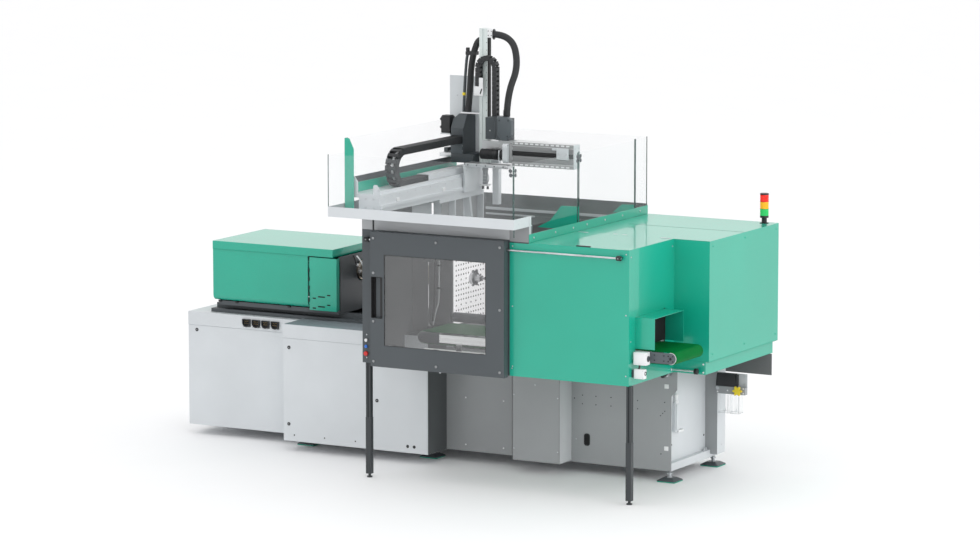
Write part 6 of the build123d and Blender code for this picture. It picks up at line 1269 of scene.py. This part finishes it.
class MOULDING_OT_mould_space(bpy.types.Operator):
    """Mounting holes, hub, tube, pipe and its box seen through the window"""

    bl_idname = "moulding.mould_space"
    bl_label = "Mould space"

    def execute(self, context):
        pitch = context.scene.machine_details.hole_pitch
        near, far, bottom, top = 219, 726, 1062, 1642
        middle_y, middle_z, hub_space, bolt_circle = 545, 1400, 92, 58
        plate = Piece()
        # The mounting plate's glow is painted light in the mould space
        plate.block((-25.9, near, bottom), (-21, far, top), "mounting_plate_painted_light", 1.5)
        rows = int((top - bottom) / pitch) - 1
        columns = int((far - near) / pitch) - 1
        for row, column in grid(range(rows + 1), range(columns + 1)):
            y = (near + far - columns * pitch) / 2 + column * pitch
            z = (bottom + top - rows * pitch) / 2 + row * pitch
            if hypot(y - middle_y, z - middle_z) >= hub_space and not (row % 5 == 3 and column % 2):
                plate.disc((-21, y, z), RIGHT, 8, 0.5)
        plate.plate(lobed((middle_y, middle_z), 64, 10, 72), "x", -21, -9, "tool_steel", 3)
        stem = [(46, 0), (46, 12), (30, 16), (30, 40), (22, 44), (22, 62), (12, 66), (12, 86), (0, 88)]
        plate.turned((-9, middle_y, middle_z), RIGHT, stem, "ground_steel", 32)
        for step in range(6):
            angle = pi * step / 3
            y, z = middle_y + bolt_circle * cos(angle), middle_z + bolt_circle * sin(angle)
            plate.screw((-9, y, z), RIGHT, size=6)
        plate.make("mounting_plate", "machine")
        lines = Piece()
        lines.pipe([(-34, 0, 1609), (-34, 0, 1500), (-34, 0, 1266), (-60, 0, 1224), (-90, 0, 1086)], 7, "cable_white")
        lines.pipe([(-60, -20, 1700), (-60, -20, 1500), (-62, -20, 1300), (-80, -20, 1120)], 6, "black_moulding")
        lines.block((-150, -30, 1590), (-60, -10, 1690), "cable_grey", 3)
        for z in (1380, 1560):
            lines.block((-44, -12, z), (-24, 12, z + 14), "black_moulding", 2)
        lines.make("inner_hoses", "machine")
        moving = Piece()
        for at in grid(624, (300, 405, 605, 710), (1230, 1335, 1465, 1570)):
            moving.disc(at, LEFT, 9, 0.5, steps=14)
        moving.screws(grid(624, (190, 820), 1400), LEFT, size=12)
        moving.make("moving_plate_holes", "clamp")
        return {"FINISHED"}


class MOULDING_OT_gripper(bpy.types.Operator):
    """Gripper: wrist barrel, arm with bolts, cup plate, bellows cups and their cable"""

    bl_idname = "moulding.gripper"
    bl_label = "Gripper"

    def execute(self, context):
        low, high = node_box("gripper")
        hand = Piece()
        length = high.y - low.y - 24
        barrel = [(17, 0), (19.5, 2), (19.5, length - 2), (17, length)]
        hand.turned((15, low.y + 12, 2262), FAR, barrel, "tool_steel", 28)
        hand.block((1, 646, 2142), (29, 684, 2262), "tool_steel", 2)
        hand.plate(rounded((low.x, low.y), (high.x, high.y), 5), "z", 2131, 2143, "white_moulding", 1.5)
        hand.screws(grid((8, 22), 646, (2165, 2190, 2215)), NEAR, size=4)
        cup = [(4, 28), (4, 23), (10.6, 20), (7.4, 16.5), (10.8, 13), (7.4, 9.5), (11, 3), (11, 0), (8, 0)]
        for x in (-7, 37):
            hand.turned((x, 665, low.z), UP, cup, "hose_rubber")
        hand.pipe([(22, 650, 2250), (60, 640, 2230), (60, 640, 2170), (37, 652, 2146)], 3, "cable_grey", 2)
        hand.make("gripper_hand", "gripper", ("gripper",))
        return {"FINISHED"}


class MOULDING_OT_service_unit(bpy.types.Operator):
    """Air service unit: dark valve box, screwed bracket, clear bowls and lobed knob"""

    bl_idname = "moulding.service_unit"
    bl_label = "Service unit"

    def execute(self, context):
        box = Piece()
        box.plate([(2046, 770), (2036, 668), (2213, 668), (2205, 770)], "y", 737.5, 776.5, "black_moulding", 3)
        box.block((2213, 738, 676), (2219, 776, 764), "black_moulding", 2)
        box.make("valve_box", "machine", ("service_unit",))
        bracket = Piece()
        bracket.block((2035.2, 777.3, 609), (2290, 785, 770), "light_panel", 1)
        bracket.block((2036, 737, 609), (2290, 776.8, 667.5), "panel_coat", 2)
        bracket.turned((2054, 737, 652), NEAR, [(14, 0), (15, 2), (15, 5), (9, 6), (8, 2), (0, 2)], "zinc_plate")
        bracket.turned((2232, 737, 641), NEAR, [(9, 0), (9, 4), (8, 4.5), (0, 4.5)], "zinc_plate", 20)
        for x, z in ((2054, 622), (2140, 636), (2276, 660), (2276, 622)):
            bracket.screw((x, 737, z), NEAR, "white_moulding", 6)
        bracket.screws(grid(2270, 777.3, (690, 752)), NEAR, size=6)
        bracket.make("service_bracket", "machine")
        bowls, rims = Piece(), Piece()
        y = 757
        for x, size in ((2112, 46), (2208, 42)):
            sections = []
            for share, rise in ((0.86, 460), (0.97, 463), (1, 472), (1, 600), (0.98, 608)):
                half = size * share
                corners = rounded((x - half, y - half), (x + half, y + half), size * 0.22)
                sections.append([(*corner, rise) for corner in corners])
            bowls.loft(sections, "bowl_clear")
            bowls.turned((x, y, 466), UP, [(5, 0), (7, 2), (7, 9), (3, 11), (3, 30), (0, 31)], "cable_white", 16)
            outer = rounded((x - size, y - size), (x + size, y + size), size * 0.22)
            inner = rounded((x - size + 2, y - size + 2), (x + size - 2, y + size - 2), size * 0.2)
            rims.ring(outer, inner, "z", 461, 463, "cable_grey")
            rims.block((x + size - 3, y - size + 1, 463), (x + size - 0.8, y - size + 4, 605), "cable_grey")
        bowls.make("clear_bowls", "machine", ("filter_bowls",))
        rims.make("bowl_rims", "machine")
        knob = Piece()
        knob.plate(lobed((2232, 641), 33, 8, 96), "y", 711, 729, "yellow_moulding", 3)
        knob.turned((2232, 731, 641), NEAR, [(17, 0), (17, 18), (14, 20.5), (0, 21)], "yellow_moulding", 28)
        knob.make("star_knob", "service_knob", ("service_knob",), "yellow_plastic")
        return {"FINISHED"}


class MOULDING_OT_back(bpy.types.Operator):
    """Locks, louvres and screws on the rear side"""

    bl_idname = "moulding.back"
    bl_label = "Rear side"

    def execute(self, context):
        rear = Piece()
        for x in (-2380, -1900, -1420, -900, -400):
            rear.lock((x, 919, 860), FAR)
        for lefts, width, rows, start, end in (
            ((-2200, -1700), 300, range(560, 729, 24), 918.5, 919.6),
            ((60, 760), 340, range(300, 535, 26), 927, 927.7),
        ):
            for left, z in grid(lefts, rows):
                rear.plate(rounded((left, z - 4), (left + width, z + 4), 3.9), "y", start, end, "hole_painted_shade")
        rear.screws(grid((0, 640, 1280, 1880), 927, (140, 820)), FAR, size=7)
        rear.make("rear_trim", "machine")
        return {"FINISHED"}


class MOULDING_OT_stage(bpy.types.Operator):
    """Floor, soft light and the camera"""

    bl_idname = "moulding.stage"
    bl_label = "Stage"

    def execute(self, context):
        scene = context.scene
        stage = scene.machine_stage
        floor = bmesh.new()
        bmesh.ops.create_grid(floor, x_segments=24, y_segments=24, size=stage.floor)
        data = bpy.data.meshes.new("floor")
        floor.to_mesh(data)
        floor.free()
        made = coated("studio_floor", (0.93, 0.93, 0.94), 0.7, grain=40.0, depth=0.0001, drift=0.004)
        data.materials.append(made)
        ground = bpy.data.objects.new("floor", data)
        scene.collection.objects.link(ground)
        world = bpy.data.worlds.new("surround")
        world.use_nodes = True
        background = world.node_tree.nodes["Background"]
        background.inputs["Color"].default_value = (1.0, 1.0, 1.0, 1)
        background.inputs["Strength"].default_value = stage.fill
        scene.world = world
        for name, place, size, share in (
            ("key", (14.0, -3.0, 5.0), 6.0, 1.0),
            ("top", (2.0, -2.0, 12.0), 7.0, 0.35),
        ):
            lamp = bpy.data.lights.new(name, "AREA")
            lamp.energy = stage.key * share
            lamp.size = size
            holder = bpy.data.objects.new(name, lamp)
            holder.location = place
            aim = Vector((0, 0, 1.2)) - Vector(place)
            holder.rotation_euler = aim.to_track_quat("-Z", "Y").to_euler()
            scene.collection.objects.link(holder)
        camera = bpy.data.objects.new("camera", bpy.data.cameras.new("camera"))
        camera.data.lens = stage.lens
        camera.data.sensor_width = 36.0
        camera.data.clip_end = 600.0
        camera.location = stage.camera_place
        camera.rotation_euler = (stage.camera_tilt, 0.0, stage.camera_turn)
        scene.collection.objects.link(camera)
        scene.camera = camera
        scene.view_settings.view_transform = "Standard"
        return {"FINISHED"}


class MOULDING_PT_machine(bpy.types.Panel):
    """Sizes, colours and pieces of the injection moulding machine"""

    bl_idname = "MOULDING_PT_machine"
    bl_label = "Moulding machine"
    bl_space_type = "VIEW_3D"
    bl_region_type = "UI"
    bl_category = "Moulding Machine"

    def draw(self, context):
        for group in (context.scene.machine_colours, context.scene.machine_details, context.scene.machine_stage):
            box = self.layout.box()
            for name in group.__annotations__:
                box.prop(group, name)
        for operator in OPERATORS:
            self.layout.operator(operator.bl_idname)


OPERATORS = (
    MOULDING_OT_finishes,
    MOULDING_OT_tower,
    MOULDING_OT_feet,
    MOULDING_OT_cabinets,
    MOULDING_OT_base,
    MOULDING_OT_door,
    MOULDING_OT_rods,
    MOULDING_OT_guards,
    MOULDING_OT_conveyor,
    MOULDING_OT_chains,
    MOULDING_OT_carriage,
    MOULDING_OT_length_axis,
    MOULDING_OT_column,
    MOULDING_OT_hoses,
    MOULDING_OT_deck,
    MOULDING_OT_injection_unit,
    MOULDING_OT_mould_space,
    MOULDING_OT_gripper,
    MOULDING_OT_service_unit,
    MOULDING_OT_back,
    MOULDING_OT_stage,
)

GROUPS = (MachineColours, MachineDetails, MachineStage)


def register():
    for part in (*GROUPS, *OPERATORS, MOULDING_PT_machine):
        bpy.utils.register_class(part)
    bpy.types.Scene.machine_colours = bpy.props.PointerProperty(type=MachineColours)
    bpy.types.Scene.machine_details = bpy.props.PointerProperty(type=MachineDetails)
    bpy.types.Scene.machine_stage = bpy.props.PointerProperty(type=MachineStage)


def unregister():
    del bpy.types.Scene.machine_colours
    del bpy.types.Scene.machine_details
    del bpy.types.Scene.machine_stage
    for part in reversed((*GROUPS, *OPERATORS, MOULDING_PT_machine)):
        bpy.utils.unregister_class(part)


def main():
    register()
    for operator in OPERATORS:
        group, name = operator.bl_idname.split(".")
        getattr(getattr(bpy.ops, group), name)()


if __name__ == "__main__":
    main()
